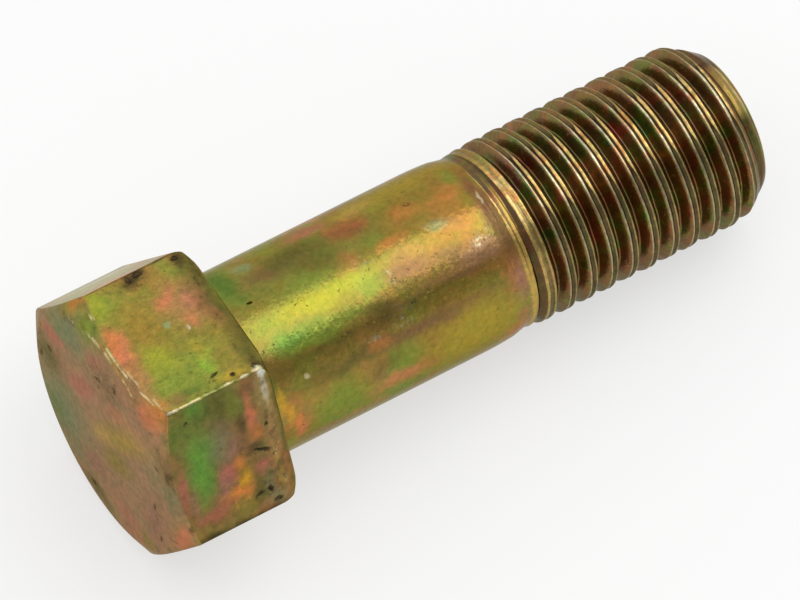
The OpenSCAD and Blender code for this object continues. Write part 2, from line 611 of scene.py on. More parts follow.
@dataclass
class Thread:
    """Rolled right-hand thread: every crest has a fine seam between two lips."""

    diameter: float = 9.88
    pitch: float = 1.25
    crest_offset: float = 0.82
    start: float = 15.65
    crest_run_in: float = 1.1
    root_run_in: float = 2.3
    core_diameter: float = 9.4
    length: float = 30.35
    tip_diameter: float = 7.9
    tip_chamfer: float = 36.0
    tip_softness: float = 0.3
    collar_height: float = 0.05
    collar_place: float = 15.82
    collar_width: float = 0.12
    open_until: float = 17.6
    open_from: float = 16.2
    open_share: float = 0.6
    wobble: float = 0.03
    wobble_scale: float = 1.1
    wobble_fade: float = 0.8
    spare_turns: int = 2
    steps: int = 144
    lips: Outline = (
        (-0.090, 0.000), (-0.080, 0.034), (-0.040, 0.075), (-0.008, 0.112), (0.0, 0.152),
        (-0.008, 0.195), (-0.034, 0.235), (-0.078, 0.265),
    )
    root_corner: Outline = ((-0.560, 0.535), (-0.603, 0.572), (-0.620, 0.625))

    def half_profile(self) -> list[tuple[float, float]]:
        """Gives one side of a thread form, from the middle of the crest to the root.

        Returns:
            Points as (radius, distance from the crest's middle).
        """
        top = self.diameter / 2
        middle = ((self.lips[-1][0] + self.root_corner[0][0]) / 2,
                  (self.lips[-1][1] + self.root_corner[0][1]) / 2)
        form = [*self.lips, middle, *self.root_corner]
        return [(top + low, aside) for low, aside in form]

    def profile(self, height: float) -> list[tuple[float, float]]:
        """Gives one whole thread form round a crest.

        Args:
            height: Height of the crest's middle.

        Returns:
            Points as (radius, height), from root to root.
        """
        half = self.half_profile()
        below = [(radius, height - aside) for radius, aside in reversed(half[1:])]
        return below + [(radius, height + aside) for radius, aside in half]

    def tip_limit(self, height: float) -> float:
        """Gives the radius of the tip's chamfer at a height."""
        slope = math.tan(math.radians(self.tip_chamfer))
        return self.tip_diameter / 2 + (self.length - height) * slope

    def fitted_radius(self, radius: float, height: float, shank: Shank) -> float:
        """Fades the full thread form into the neck and into the tip.

        Args:
            radius: Radius of the full form.
            height: Distance from the bearing face.
            shank: The shank that the thread grows out of.

        Returns:
            Radius of the finished thread.
        """
        core = self.core_diameter / 2
        neck = shank.radius_at(height)
        if height > self.start:
            neck = blend(neck, core, (height - self.start) / self.crest_run_in)
        off_collar = (height - self.collar_place) / self.collar_width
        neck += self.collar_height * math.exp(-(off_collar ** 2))
        run_in = self.crest_run_in if radius > core else self.root_run_in
        share = min(1.0, max(0.0, (height - self.start) / run_in))
        fitted = neck + (radius - core) * share
        return soft_minimum(fitted, self.tip_limit(height), self.tip_softness)

    def build(self, shank: Shank) -> bpy.types.Object:
        """Winds the thread up the bolt.

        Args:
            shank: The shank that it grows out of.

        Returns:
            The thread, open at its joint with the shank and closed at the tip.
        """
        joint = shank.thread_joint
        first = math.floor((joint - self.crest_offset) / self.pitch) - self.spare_turns
        turns = math.ceil((self.length - joint) / self.pitch) + 2 * self.spare_turns
        piece = Bench.draw_outline("thread", self.profile(self.crest_offset + first * self.pitch))
        Bench.apply(
            piece, "SCREW", axis="Z", angle=FULL_TURN, screw_offset=self.pitch, iterations=turns,
            steps=self.steps, render_steps=self.steps, use_merge_vertices=True,
            merge_threshold=MERGE_MM,
        )
        Bench.open(piece)
        Bench.weld()
        Bench.cut_level(joint, keep_above=True)
        Bench.cut_level(self.length, keep_above=False)
        Bench.close()
        self.form(piece, shank)
        return piece

    def form(self, piece: bpy.types.Object, shank: Shank) -> None:
        """Runs the wound thread out at both ends, opens its first crest and makes it uneven.

        Args:
            piece: The wound thread.
            shank: The shank that it grows out of.
        """
        for vertex in piece.data.vertices:
            radius = vertex.co.xy.length
            if radius > MERGE_MM:
                scale = self.fitted_radius(radius, vertex.co.z, shank) / radius
                uneven = noise.noise_vector(vertex.co * self.wobble_scale) * self.wobble
                ends = min(vertex.co.z - self.start, self.length - vertex.co.z)
                uneven *= min(1.0, max(0.0, ends / self.wobble_fade))
                vertex.co.z += self.opening(vertex.co) + uneven.z
                vertex.co.x *= scale + uneven.x / radius
                vertex.co.y *= scale + uneven.x / radius

    def opening(self, point: Vector) -> float:
        """Gives how far a lip moves aside where the first turn's crest is still open.

        Args:
            point: A point of the thread.

        Returns:
            The move along the bolt.
        """
        share = (self.open_until - point.z) / (self.open_until - self.open_from)
        wound = self.pitch * math.atan2(point.y, point.x) / FULL_TURN
        turns = (point.z - self.crest_offset - wound) / self.pitch
        aside = (turns - round(turns)) * self.pitch
        fade = 1.0 - min(1.0, abs(aside) / (0.5 * self.pitch))
        above = 1.0 if point.z > self.start else 0.0
        return self.open_share * aside * fade * above * min(1.0, max(0.0, share))


class Film(Enum):
    """Colours that the passivated film takes with its thickness, and what shows through it."""

    OLIVE = (135, 122, 55)
    MOSS = (125, 138, 56)
    GREEN = (98, 145, 60)
    BRIGHT_GREEN = (138, 178, 60)
    LIME = (150, 156, 50)
    FERN = (85, 114, 48)
    SAGE = (122, 120, 86)
    TEAL = (136, 154, 110)
    LICHEN = (120, 128, 92)
    GOLD = (162, 140, 54)
    AMBER = (150, 118, 52)
    ORANGE = (202, 124, 66)
    SALMON = (204, 116, 86)
    ROSE = (182, 104, 92)
    MAUVE = (152, 108, 90)
    TAN = (160, 118, 76)
    UMBER = (126, 95, 64)
    RUST = (142, 84, 56)
    DARK_OLIVE = (97, 93, 46)
    SOOT = (58, 50, 34)
    CREAM = (222, 212, 172)
    ZINC = (212, 210, 196)
    BRASS = (158, 146, 92)
    # Groove colour: grease darkened as painted shade
    GREASE = (92, 80, 67)
    CLAY = (160, 124, 96)
    SEAM = (58, 44, 28)
    STRAW = (151, 148, 47)
    STRAW_GREY = (206, 192, 140)
    PEACH = (198, 148, 98)
    # The next two colours are painted highlights for the lips of the thread
    LIT_BRASS = (236, 200, 122)
    PALE_ZINC = (216, 208, 174)
    DULL_BRASS = (156, 144, 98)
    PEWTER = (172, 166, 130)
    OCHRE = (190, 158, 82)
    BRONZE = (140, 96, 48)
    HONEY = (214, 160, 46)
    GARNET = (118, 62, 54)
    DEEP_GREEN = (73, 86, 58)

    @property
    def colour(self) -> Colour:
        """The film's colour as scene linear numbers."""
        return (*(self.linear(part / 255) for part in self.value), 1.0)

    @staticmethod
    def linear(part: float) -> float:
        """Takes one part of a display colour to scene linear."""
        bent = ((part + DISPLAY_SHIFT) / (1.0 + DISPLAY_SHIFT)) ** DISPLAY_POWER
        return part / DISPLAY_SLOPE if part <= DISPLAY_KNEE else bent


class Side(Enum):
    """The sides of the bolt that a patch or a dent can lie on."""

    TOP_FLAT = 180.0
    FRONT_FLAT = 240.0
    BACK_FLAT = 120.0
    END_FACE = -90.0
    ROUND = 0.0

    @property
    def is_flat(self) -> bool:
        """Whether this is one of the hexagon's flats."""
        return self not in (Side.END_FACE, Side.ROUND)

    def owns(self, point: Vector, head: Head) -> bool:
        """Says whether a point of the head lies on this side.

        Args:
            point: The point on the upright bolt.
            head: The head.

        Returns:
            Whether the point lies on this side or in a pit in it.
        """
        radius = point.xy.length
        over = max(0.0, radius - head.end_circle / 2)
        rim = -head.height + over * math.tan(math.radians(head.end_chamfer))
        on_end = point.z < rim + END_PIT_MM
        if self is Side.END_FACE:
            return on_end
        angle = math.radians(self.value)
        outward = point.x * math.cos(angle) + point.y * math.sin(angle)
        near = outward > head.flat_distance - head.eased_depth - FLAT_PIT_MM
        return near and outward > FLAT_COSINE * radius and not on_end


@dataclass(frozen=True)
class Patch:
    """A small ellipse of film colour on a side of the bolt.

    On a flat, along runs from the bearing face to the tip and across runs along the flat. On
    the end face they are the two ways across it. On the shank, along is the height and across
    the angle in degrees. A broken patch shows only where the flecks of the film are.
    """

    side: Side
    film: Film
    along: float
    across: float
    reach_along: float
    reach_across: float
    strength: float = 1.0
    broken: float = 0.0
    turn: float = 0.0
    depth: float = 1.0

    def place(self, head: Head, radius: float) -> Vector:
        """Gives the middle of the patch.

        Args:
            head: The head, which has the flats and the end face.
            radius: Radius of the shank or the thread.

        Returns:
            The place on the upright bolt, in millimetres.
        """
        if self.side is Side.END_FACE:
            return Vector((self.across, self.along, -head.height))
        angle = math.radians(self.side.value if self.side.is_flat else self.across)
        outward = Vector((math.cos(angle), math.sin(angle), 0.0))
        upward = Vector((0.0, 0.0, self.along))
        if self.side is Side.ROUND:
            return outward * radius + upward
        sideways = Vector((-math.sin(angle), math.cos(angle), 0.0))
        return outward * head.flat_distance + sideways * self.across + upward

    @property
    def facing(self) -> Euler:
        """Gives the turn that takes the x axis outwards from the surface.

        Returns:
            The turn, with the patch's own spin first.
        """
        spin = math.radians(self.turn)
        if self.side is Side.END_FACE:
            return Euler((spin, math.pi / 2, 0.0))
        angle = self.side.value if self.side.is_flat else self.across
        return Euler((spin, 0.0, math.radians(angle)))

    def reach(self, radius: float) -> Vector:
        """Gives the half sizes of the patch: outwards, across and along.

        Args:
            radius: Radius of the shank or the thread.

        Returns:
            Half sizes in millimetres.
        """
        across = self.reach_across
        if self.side is Side.ROUND:
            sweep = math.radians(across)
            sagging = SAG_ALLOWANCE * radius * (1.0 - math.cos(min(sweep, math.pi / 2)))
            return Vector((self.depth + sagging, sweep * radius, self.reach_along))
        if self.side is Side.END_FACE:
            return Vector((self.depth, self.reach_along, across))
        return Vector((self.depth, across, self.reach_along))


def patches(side: Side, *rows: tuple) -> tuple[Patch, ...]:
    """Makes the patches of one side.

    Args:
        side: Side of the bolt that they lie on.
        *rows: For each patch its film, place along and across, reach along and across, and
            then, if wanted, its strength, how broken up it is and its turn in degrees.

    Returns:
        The patches, in the order they are laid on.
    """
    return tuple(Patch(side, *row) for row in rows)


def film_stops(rows: Sequence[tuple[float, Film]]) -> list[tuple[float, Colour]]:
    """Gives the stops of a colour ramp that goes from film to film."""
    return [(place, film.colour) for place, film in rows]


class Graph:
    """A node tree being wired, with one short call for each kind of node."""

    def __init__(self, tree: bpy.types.NodeTree) -> None:
        """Takes a tree to wire."""
        self.tree = tree

    def node(self, kind: str, **settings: object) -> bpy.types.Node:
        """Adds a node.

        Args:
            kind: The node's type, without the words ShaderNode.
            **settings: The node's own settings.

        Returns:
            The node.
        """
        made = self.tree.nodes.new("ShaderNode" + kind)
        for key, value in settings.items():
            setattr(made, key, value)
        return made

    def feed(self, socket: bpy.types.NodeSocket, value: object) -> None:
        """Links a socket to another one, or sets it to a plain value.

        Args:
            socket: The socket to feed.
            value: Another node's output, a number, a vector or a colour.
        """
        if isinstance(value, bpy.types.NodeSocket):
            self.tree.links.new(value, socket)
        else:
            socket.default_value = value

    def math(self, operation: str, *values: object) -> bpy.types.NodeSocket:
        """Adds a sum of numbers.

        Args:
            operation: What is done with them.
            *values: The numbers.

        Returns:
            The result.
        """
        made = self.node("Math", operation=operation)
        for socket, value in zip(made.inputs, values):
            self.feed(socket, value)
        return made.outputs[0]

    def times(self, one: object, other: object) -> bpy.types.NodeSocket:
        """Multiplies two numbers."""
        return self.math("MULTIPLY", one, other)

    def vector(self, operation: str, *values: object) -> bpy.types.Node:
        """Adds a sum of vectors.

        Args:
            operation: What is done with them.
            *values: The vectors.

        Returns:
            The node, whose outputs are a vector and a value.
        """
        made = self.node("VectorMath", operation=operation)
        for socket, value in zip(made.inputs, values):
            self.feed(socket, value)
        return made

    def stretch(self, point: object, scale: tuple[float, float, float]) -> bpy.types.NodeSocket:
        """Scales a point by a number for each direction."""
        return self.vector("MULTIPLY", point, scale).outputs["Vector"]

    def split(self, point: object) -> bpy.types.NodeOutputs:
        """Takes a point apart.

        Args:
            point: The point, or a colour.

        Returns:
            Its parts X, Y and Z.
        """
        made = self.node("SeparateXYZ")
        self.feed(made.inputs[0], point)
        return made.outputs

    def mix(self, share: object, low: object, high: object) -> bpy.types.NodeSocket:
        """Adds a mix of two colours.

        Args:
            share: How much of the second colour there is.
            low: First colour.
            high: Second colour.

        Returns:
            The mixed colour.
        """
        made = self.node("Mix", data_type="RGBA", clamp_factor=True)
        colours_in = [socket for socket in made.inputs if socket.type == "RGBA"]
        self.feed(made.inputs["Factor"], share)
        self.feed(colours_in[0], low)
        self.feed(colours_in[1], high)
        return next(socket for socket in made.outputs if socket.type == "RGBA")

    def remap(
        self, value: object, low: object, high: object, to_low: object = 0.0,
        to_high: object = 1.0, smooth: bool = True,
    ) -> bpy.types.NodeSocket:
        """Adds a map from one range to another.

        Args:
            value: What is mapped.
            low: Start of its range.
            high: End of its range.
            to_low: Result at the start.
            to_high: Result at the end.
            smooth: Whether the map eases in and out.

        Returns:
            The mapped value.
        """
        made = self.node("MapRange", interpolation_type="SMOOTHSTEP" if smooth else "LINEAR")
        for name, part in zip(
            ("Value", "From Min", "From Max", "To Min", "To Max"),
            (value, low, high, to_low, to_high),
        ):
            self.feed(made.inputs[name], part)
        return made.outputs["Result"]

    def spread(
        self, share: object, low: object, high: object, smooth: bool = True
    ) -> bpy.types.NodeSocket:
        """Maps a share of 0 to 1 to a range."""
        return self.remap(share, 0.0, 1.0, low, high, smooth)

    def noise(
        self, point: object, scale: object, detail: float = 2.0, roughness: float = 0.5
    ) -> bpy.types.NodeOutputs:
        """Adds a noise.

        Args:
            point: Where it is read.
            scale: Waves in a millimetre.
            detail: Finer layers.
            roughness: Weight of the finer layers.

        Returns:
            The noise as a number, Fac, and as three, Color.
        """
        made = self.node("TexNoise")
        self.feed(made.inputs["Vector"], point)
        self.feed(made.inputs["Scale"], scale)
        made.inputs["Detail"].default_value = detail
        made.inputs["Roughness"].default_value = roughness
        return made.outputs

    def ramp(
        self, share: object, stops: Sequence[tuple[float, Colour]], interpolation: str = "LINEAR"
    ) -> bpy.types.NodeSocket:
        """Adds a colour ramp.

        Args:
            share: Where the ramp is read.
            stops: Each stop's place and colour, in order.
            interpolation: How it goes from stop to stop.

        Returns:
            The ramp's colour.
        """
        made = self.node("ValToRGB")
        made.color_ramp.interpolation = interpolation
        elements = made.color_ramp.elements
        elements.remove(elements[1])
        elements[0].position, elements[0].color = stops[0]
        for place, colour in stops[1:]:
            elements.new(place).color = colour
        self.feed(made.inputs["Fac"], share)
        return made.outputs["Color"]

    def place(self, effect: "Effect", **inputs: object) -> Sockets:
        """Places a shared effect.

        Args:
            effect: The effect.
            **inputs: Its inputs by name.

        Returns:
            Its outputs by name.
        """
        made = self.node("Group", node_tree=effect.tree())
        for name, value in inputs.items():
            self.feed(made.inputs[name], value)
        return {socket.name: socket for socket in made.outputs}


class Effect:
    """A shader node group that is made once and then placed in each finish."""

    name = ""
    inputs: tuple[tuple[str, str, object], ...] = ()
    outputs: tuple[tuple[str, str], ...] = ()

    def tree(self) -> bpy.types.NodeTree:
        """Gives the group, and makes it the first time.

        Returns:
            The group's node tree.
        """
        made = bpy.data.node_groups.get(self.name)
        if made:
            return made
        made = bpy.data.node_groups.new(self.name, "ShaderNodeTree")
        for name, kind, value in self.inputs:
            socket = made.interface.new_socket(
                name, in_out="INPUT", socket_type="NodeSocket" + kind
            )
            socket.default_value = value
        for name, kind in self.outputs:
            made.interface.new_socket(name, in_out="OUTPUT", socket_type="NodeSocket" + kind)
        graph = Graph(made)
        given = made.nodes.new("NodeGroupInput").outputs
        wanted = made.nodes.new("NodeGroupOutput").inputs
        results = self.wire(graph, {socket.name: socket for socket in given if socket.name})
        for name, value in results.items():
            graph.feed(wanted[name], value)
        return made

    def wire(self, graph: Graph, given: Sockets) -> Sockets:
        """Wires the inside of the group.

        Args:
            graph: The group's tree.
            given: The group's inputs by name.

        Returns:
            The group's outputs by name.
        """
        raise NotImplementedError


class Waver(Effect):
    """Moves points about a little, so that what is laid on them has uneven edges."""

    name = "waver"
    inputs = (("Point", "Vector", (0, 0, 0)), ("Scale", "Float", 0.6), ("Amount", "Float", 1.0))
    outputs = (("Point", "Vector"),)

    def wire(self, graph: Graph, given: Sockets) -> Sockets:
        """Adds a three-way noise to the point.

        Args:
            graph: The group's tree.
            given: The group's inputs by name.

        Returns:
            The moved point.
        """
        noise_at = graph.noise(given["Point"], given["Scale"], roughness=0.55)
        centred = graph.vector("SUBTRACT", noise_at["Color"], (0.5, 0.5, 0.5))
        shift = graph.vector("SCALE", centred.outputs["Vector"])
        graph.feed(shift.inputs["Scale"], given["Amount"])
        moved = graph.vector("ADD", given["Point"], shift.outputs["Vector"])
        return {"Point": moved.outputs["Vector"]}


class FilmPatch(Effect):
    """Lays one ellipse of a colour over the colours below it."""

    name = "film_patch"
    inputs = (
        ("Below", "Color", (1, 1, 1, 1)), ("Point", "Vector", (0, 0, 0)),
        ("Place", "Vector", (0, 0, 0)), ("Facing", "Vector", (0, 0, 0)),
        ("Reach", "Vector", (1, 1, 1)), ("Film", "Color", (1, 1, 1, 1)),
        ("Core", "Float", 0.2), ("Strength", "Float", 1.0),
        ("Flecks", "Float", 0.5), ("Broken", "Float", 0.0),
    )
    outputs = (("Colour", "Color"),)
    outer_edge = 1.4
    fleck_range = (0.5, 0.72)

    def wire(self, graph: Graph, given: Sockets) -> Sockets:
        """Measures how far a point is from the ellipse's middle and mixes by it.

        Args:
            graph: The group's tree.
            given: The group's inputs by name.

        Returns:
            The colour with the patch on it.
        """
        near = graph.node("Mapping", vector_type="TEXTURE")
        for socket, name in zip(near.inputs, ("Point", "Place", "Facing", "Reach")):
            graph.feed(socket, given[name])
        away = graph.vector("LENGTH", near.outputs["Vector"]).outputs["Value"]
        share = graph.remap(away, self.outer_edge, given["Core"], 0.0, given["Strength"])
        flecks = graph.remap(given["Flecks"], *self.fleck_range)
        kept = graph.spread(given["Broken"], 1.0, flecks, smooth=False)
        return {"Colour": graph.mix(graph.times(share, kept), given["Below"], given["Film"])}


class FilmDrift(Effect):
    """Wanders through the film's colours as its thickness drifts over the surface."""

    name = "film_drift"
    inputs = (("Point", "Vector", (0, 0, 0)), ("Scale", "Float", 0.3), ("Thickness", "Float", 0.0))
    outputs = (("Colour", "Color"),)
    order = (
        (0.1, Film.UMBER), (0.3, Film.AMBER), (0.5, Film.OLIVE), (0.66, Film.MOSS),
        (0.85, Film.GOLD),
    )
    warm = ((0.52, Film.TAN), (0.6, Film.ORANGE), (0.7, Film.ROSE))
    level_range = (0.25, 0.75)
    warm_range = (0.47, 0.62)
    warm_share = 0.72
    green_range = (0.5, 0.66)
    green_share = 0.65

    def wire(self, graph: Graph, given: Sockets) -> Sockets:
        """Reads three slow noises: the film's thickness, its reddish parts and its green ones.

        Args:
            graph: The group's tree.
            given: The group's inputs by name.

        Returns:
            The film's colour.
        """
        noise_at = graph.noise(given["Point"], given["Scale"], detail=3.0, roughness=0.55)
        parts = graph.split(noise_at["Color"])
        evened = graph.remap(parts["X"], *self.level_range, smooth=False)
        level = graph.math("ADD", evened, given["Thickness"])
        ground = graph.ramp(level, film_stops(self.order), "B_SPLINE")
        reddish = graph.ramp(parts["Y"], film_stops(self.warm), "B_SPLINE")
        warmth = graph.remap(parts["Y"], *self.warm_range, 0.0, self.warm_share)
        ground = graph.mix(warmth, ground, reddish)
        green = graph.remap(parts["Z"], *self.green_range, 0.0, self.green_share)
        return {"Colour": graph.mix(green, ground, Film.GREEN.colour)}


class Mottle(Effect):
    """Fine blotches: the film is a little darker, lighter or redder from spot to spot."""

    name = "mottle"
    inputs = (
        ("Below", "Color", (1, 1, 1, 1)), ("Point", "Vector", (0, 0, 0)),
        ("Scale", "Float", 3.0), ("Amount", "Float", 0.3),
    )
    outputs = (("Colour", "Color"),)
    tinted = 0.55
    grey = 1.45

    def wire(self, graph: Graph, given: Sockets) -> Sockets:
        """Scales the colour by a noise of three parts that mostly go together.

        Args:
            graph: The group's tree.
            given: The group's inputs by name.

        Returns:
            The mottled colour.
        """
        noise_at = graph.noise(given["Point"], given["Scale"], detail=4.0, roughness=0.65)
        both = graph.vector("MULTIPLY_ADD", noise_at["Color"], (self.tinted,) * 3)
        graph.feed(both.inputs[2], graph.times(noise_at["Fac"], self.grey))
        centred = graph.vector("SUBTRACT", both.outputs["Vector"], (1.0, 1.0, 1.0))
        scaled = graph.vector("SCALE", centred.outputs["Vector"])
        graph.feed(scaled.inputs["Scale"], given["Amount"])
        factor = graph.vector("ADD", scaled.outputs["Vector"], (1.0, 1.0, 1.0))
        result = graph.vector("MULTIPLY", given["Below"], factor.outputs["Vector"])
        return {"Colour": result.outputs["Vector"]}


class Grain(Effect):
    """Fine unevenness of the plated steel: small waves, specks and pits."""

    name = "grain"
    inputs = (
        ("Point", "Vector", (0, 0, 0)), ("Waves", "Float", 0.01), ("Pits", "Float", 0.02),
        ("Ribs", "Float", 0.0),
    )
    outputs = (("Height", "Float"), ("Speck", "Float"))
    slow_weight = 2.2
    fine_weight = 0.7
    pit_range = (0.63, 0.74)
    rib_stretch = (0.9, 0.9, 4.6)

    def wire(self, graph: Graph, given: Sockets) -> Sockets:
        """Adds slow waves to fine ones, sinks a few pits and raises ribs across the axis.

        Args:
            graph: The group's tree.
            given: The group's inputs by name.

        Returns:
            The height, and where a pit is.
        """
        point = given["Point"]
        slow = graph.noise(point, scale=1.1, detail=3.0, roughness=0.6)["Fac"]
        fine = graph.noise(point, scale=5.5, detail=3.0, roughness=0.6)["Fac"]
        both = graph.math(
            "ADD", graph.times(slow, self.slow_weight), graph.times(fine, self.fine_weight)
        )
        waves = graph.times(both, given["Waves"])
        speck = graph.noise(point, scale=3.1, detail=4.0, roughness=0.7)["Fac"]
        pit = graph.remap(speck, *self.pit_range)
        sunk = graph.times(pit, given["Pits"])
        rib = graph.noise(graph.stretch(point, self.rib_stretch), scale=1.0)["Fac"]
        ribbed = graph.times(rib, given["Ribs"])
        height = graph.math("ADD", graph.math("SUBTRACT", waves, sunk), ribbed)
        return {"Height": height, "Speck": pit}


class EdgeWearAndHighlight(Effect):
    """Bares the metal in dashes along an edge, which also stand for a painted highlight on the
    rounded edge, and darkens the film beside them.
    """

    name = "edge_wear_and_highlight"
    inputs = (
        ("Below", "Color", (1, 1, 1, 1)), ("Point", "Vector", (0, 0, 0)),
        ("Distance", "Float", 1.0), ("Width", "Float", 0.15), ("Amount", "Float", 0.5),
        ("Metal", "Color", (1, 1, 1, 1)),
    )
    outputs = (("Colour", "Color"), ("BareAndHighlight", "Float"))
    dash_range = (0.84, 1.06)
    least_width = 0.35
    sharpness = 0.35
    beside_reach = 2.6
    beside_range = (0.5, 0.76)
    beside_share = 0.6

    def wire(self, graph: Graph, given: Sockets) -> Sockets:
        """Breaks the edge up with noise and mixes in bare metal, which also stands for a painted
        highlight, and a darker film beside it.

        Args:
            graph: The group's tree.
            given: The group's inputs by name.

        Returns:
            The colour, and the share of bare metal and painted highlight.
        """
        point, distance = given["Point"], given["Distance"]
        dashes = graph.noise(point, scale=1.2, detail=4.0, roughness=0.6)["Fac"]
        wear_and_painted_light = graph.remap(graph.math("ADD", dashes, given["Amount"]), *self.dash_range)
        width = graph.times(given["Width"], graph.math("ADD", wear_and_painted_light, self.least_width))
        near = graph.remap(distance, width, graph.times(width, self.sharpness))
        bare_and_highlight = graph.times(near, wear_and_painted_light)
        beside_noise = graph.noise(point, scale=1.7, detail=3.0)["Fac"]
        beside = graph.remap(
            distance, graph.times(given["Width"], self.beside_reach), given["Width"]
        )
        dark = graph.times(beside, graph.remap(beside_noise, *self.beside_range))
        darkened_beside = graph.mix(
            graph.times(dark, self.beside_share), given["Below"], Film.SOOT.colour
        )
        return {"Colour": graph.mix(bare_and_highlight, darkened_beside, given["Metal"]), "BareAndHighlight": bare_and_highlight}


@dataclass(frozen=True)
class Finish:
    """Passivated zinc plating: shared ground of the three finishes on the bolt."""

    lie: Lie
    head: Head
    name: str = "plated"
    roughness: float = 0.36
    drift_scale: float = 0.3
    drift_thickness: float = 0.0
    waver: float = 1.1
    broad_scale: float = 0.55
    fine_scale: float = 2.3
    fine_share: float = 0.22
    mark_waver: float = 0.35
    mark_scale: float = 2.8
    film_core: float = 0.1
    mark_core: float = 0.45
    waves: float = 0.012
    pits: float = 0.015
    speck_share: float = 0.35
    mottle: float = 0.35
    mottle_scale: float = 2.6
    fleck_scale: float = 3.4
    ribs: float = 0.0
    edge_tint: Colour = FILM_GLANCE
    radius: float = 5.0
    films: tuple[Patch, ...] = ()
    marks: tuple[Patch, ...] = ()

    def local_point(self, graph: Graph) -> bpy.types.NodeSocket:
        """Gives the point on the upright bolt in millimetres.

        Args:
            graph: The material's tree.

        Returns:
            The point.
        """
        mapping = graph.node("Mapping", vector_type="TEXTURE")
        coordinates = graph.node("TexCoord")
        graph.feed(mapping.inputs["Vector"], coordinates.outputs["Object"])
        mapping.inputs["Location"].default_value = self.lie.bearing_centre
        mapping.inputs["Rotation"].default_value = self.lie.turn
        mapping.inputs["Scale"].default_value = (METRES_PER_MM,) * 3
        return mapping.outputs["Vector"]

    def lay(
        self, graph: Graph, colour: object, point: object, layers: Sequence[Patch], core: float
    ) -> object:
        """Lays patches over a colour, one after another.

        Args:
            graph: The material's tree.
            colour: What is below them.
            point: Where the surface is.
            layers: The patches.
            core: Share of each patch's reach that is full colour.

        Returns:
            The colour with the patches on it.
        """
        effect = FilmPatch()
        flecks: object = 0.5
        if any(patch.broken for patch in layers):
            flecks = graph.noise(point, self.fleck_scale, detail=5.0, roughness=0.75)["Fac"]
        for patch in layers:
            colour = graph.place(
                effect, Below=colour, Point=point, Film=patch.film.colour, Core=core,
                Place=patch.place(self.head, self.radius), Facing=patch.facing,
                Reach=patch.reach(self.radius), Strength=patch.strength, Flecks=flecks,
                Broken=patch.broken,
            )["Colour"]
        return colour

    def ground(self, graph: Graph, point: object) -> object:
        """Gives the film's colours with all patches and marks.

        Args:
            graph: The material's tree.
            point: The point on the upright bolt.

        Returns:
            The colour.
        """
        effect = Waver()
        shifted = graph.place(
            effect, Point=point, Scale=self.broad_scale, Amount=self.waver
        )["Point"]
        shifted = graph.place(
            effect, Point=shifted, Scale=self.fine_scale, Amount=self.waver * self.fine_share
        )["Point"]
        colour = graph.place(
            FilmDrift(), Point=shifted, Scale=self.drift_scale, Thickness=self.drift_thickness
        )["Colour"]
        colour = self.lay(graph, colour, shifted, self.films, self.film_core)
        close = graph.place(
            effect, Point=point, Scale=self.mark_scale, Amount=self.mark_waver
        )["Point"]
        return self.lay(graph, colour, close, self.marks, self.mark_core)

    def dress(self, graph: Graph, point: object, colour: object) -> tuple[object, object]:
        """Adds what only this finish has, which here is nothing.

        Args:
            graph: The material's tree.
            point: The point on the upright bolt.
            colour: The film's colour so far.

        Returns:
            The finished colour, and a roughness.
        """
        return colour, self.roughness

    def build(self) -> bpy.types.Material:
        """Makes the material.

        Returns:
            The material.
        """
        material = bpy.data.materials.new(self.name)
        material.use_nodes = True
        graph = Graph(material.node_tree)
        shader = material.node_tree.nodes["Principled BSDF"]
        shader.inputs["Metallic"].default_value = 1.0
        shader.inputs["Specular Tint"].default_value = self.edge_tint
        point = self.local_point(graph)
        colour, roughness = self.dress(graph, point, self.ground(graph, point))
        grain = graph.place(
            Grain(), Point=point, Waves=self.waves, Pits=self.pits, Ribs=self.ribs
        )
        colour = graph.place(
            Mottle(), Below=colour, Point=point, Scale=self.mottle_scale, Amount=self.mottle
        )["Colour"]
        specks = graph.times(grain["Speck"], self.speck_share)
        colour = graph.mix(specks, colour, Film.SOOT.colour)
        graph.feed(shader.inputs["Base Color"], colour)
        graph.feed(shader.inputs["Roughness"], roughness)
        bump = graph.node("Bump")
        bump.inputs["Distance"].default_value = METRES_PER_MM
        graph.feed(bump.inputs["Height"], grain["Height"])
        graph.feed(shader.inputs["Normal"], bump.outputs["Normal"])
        return material


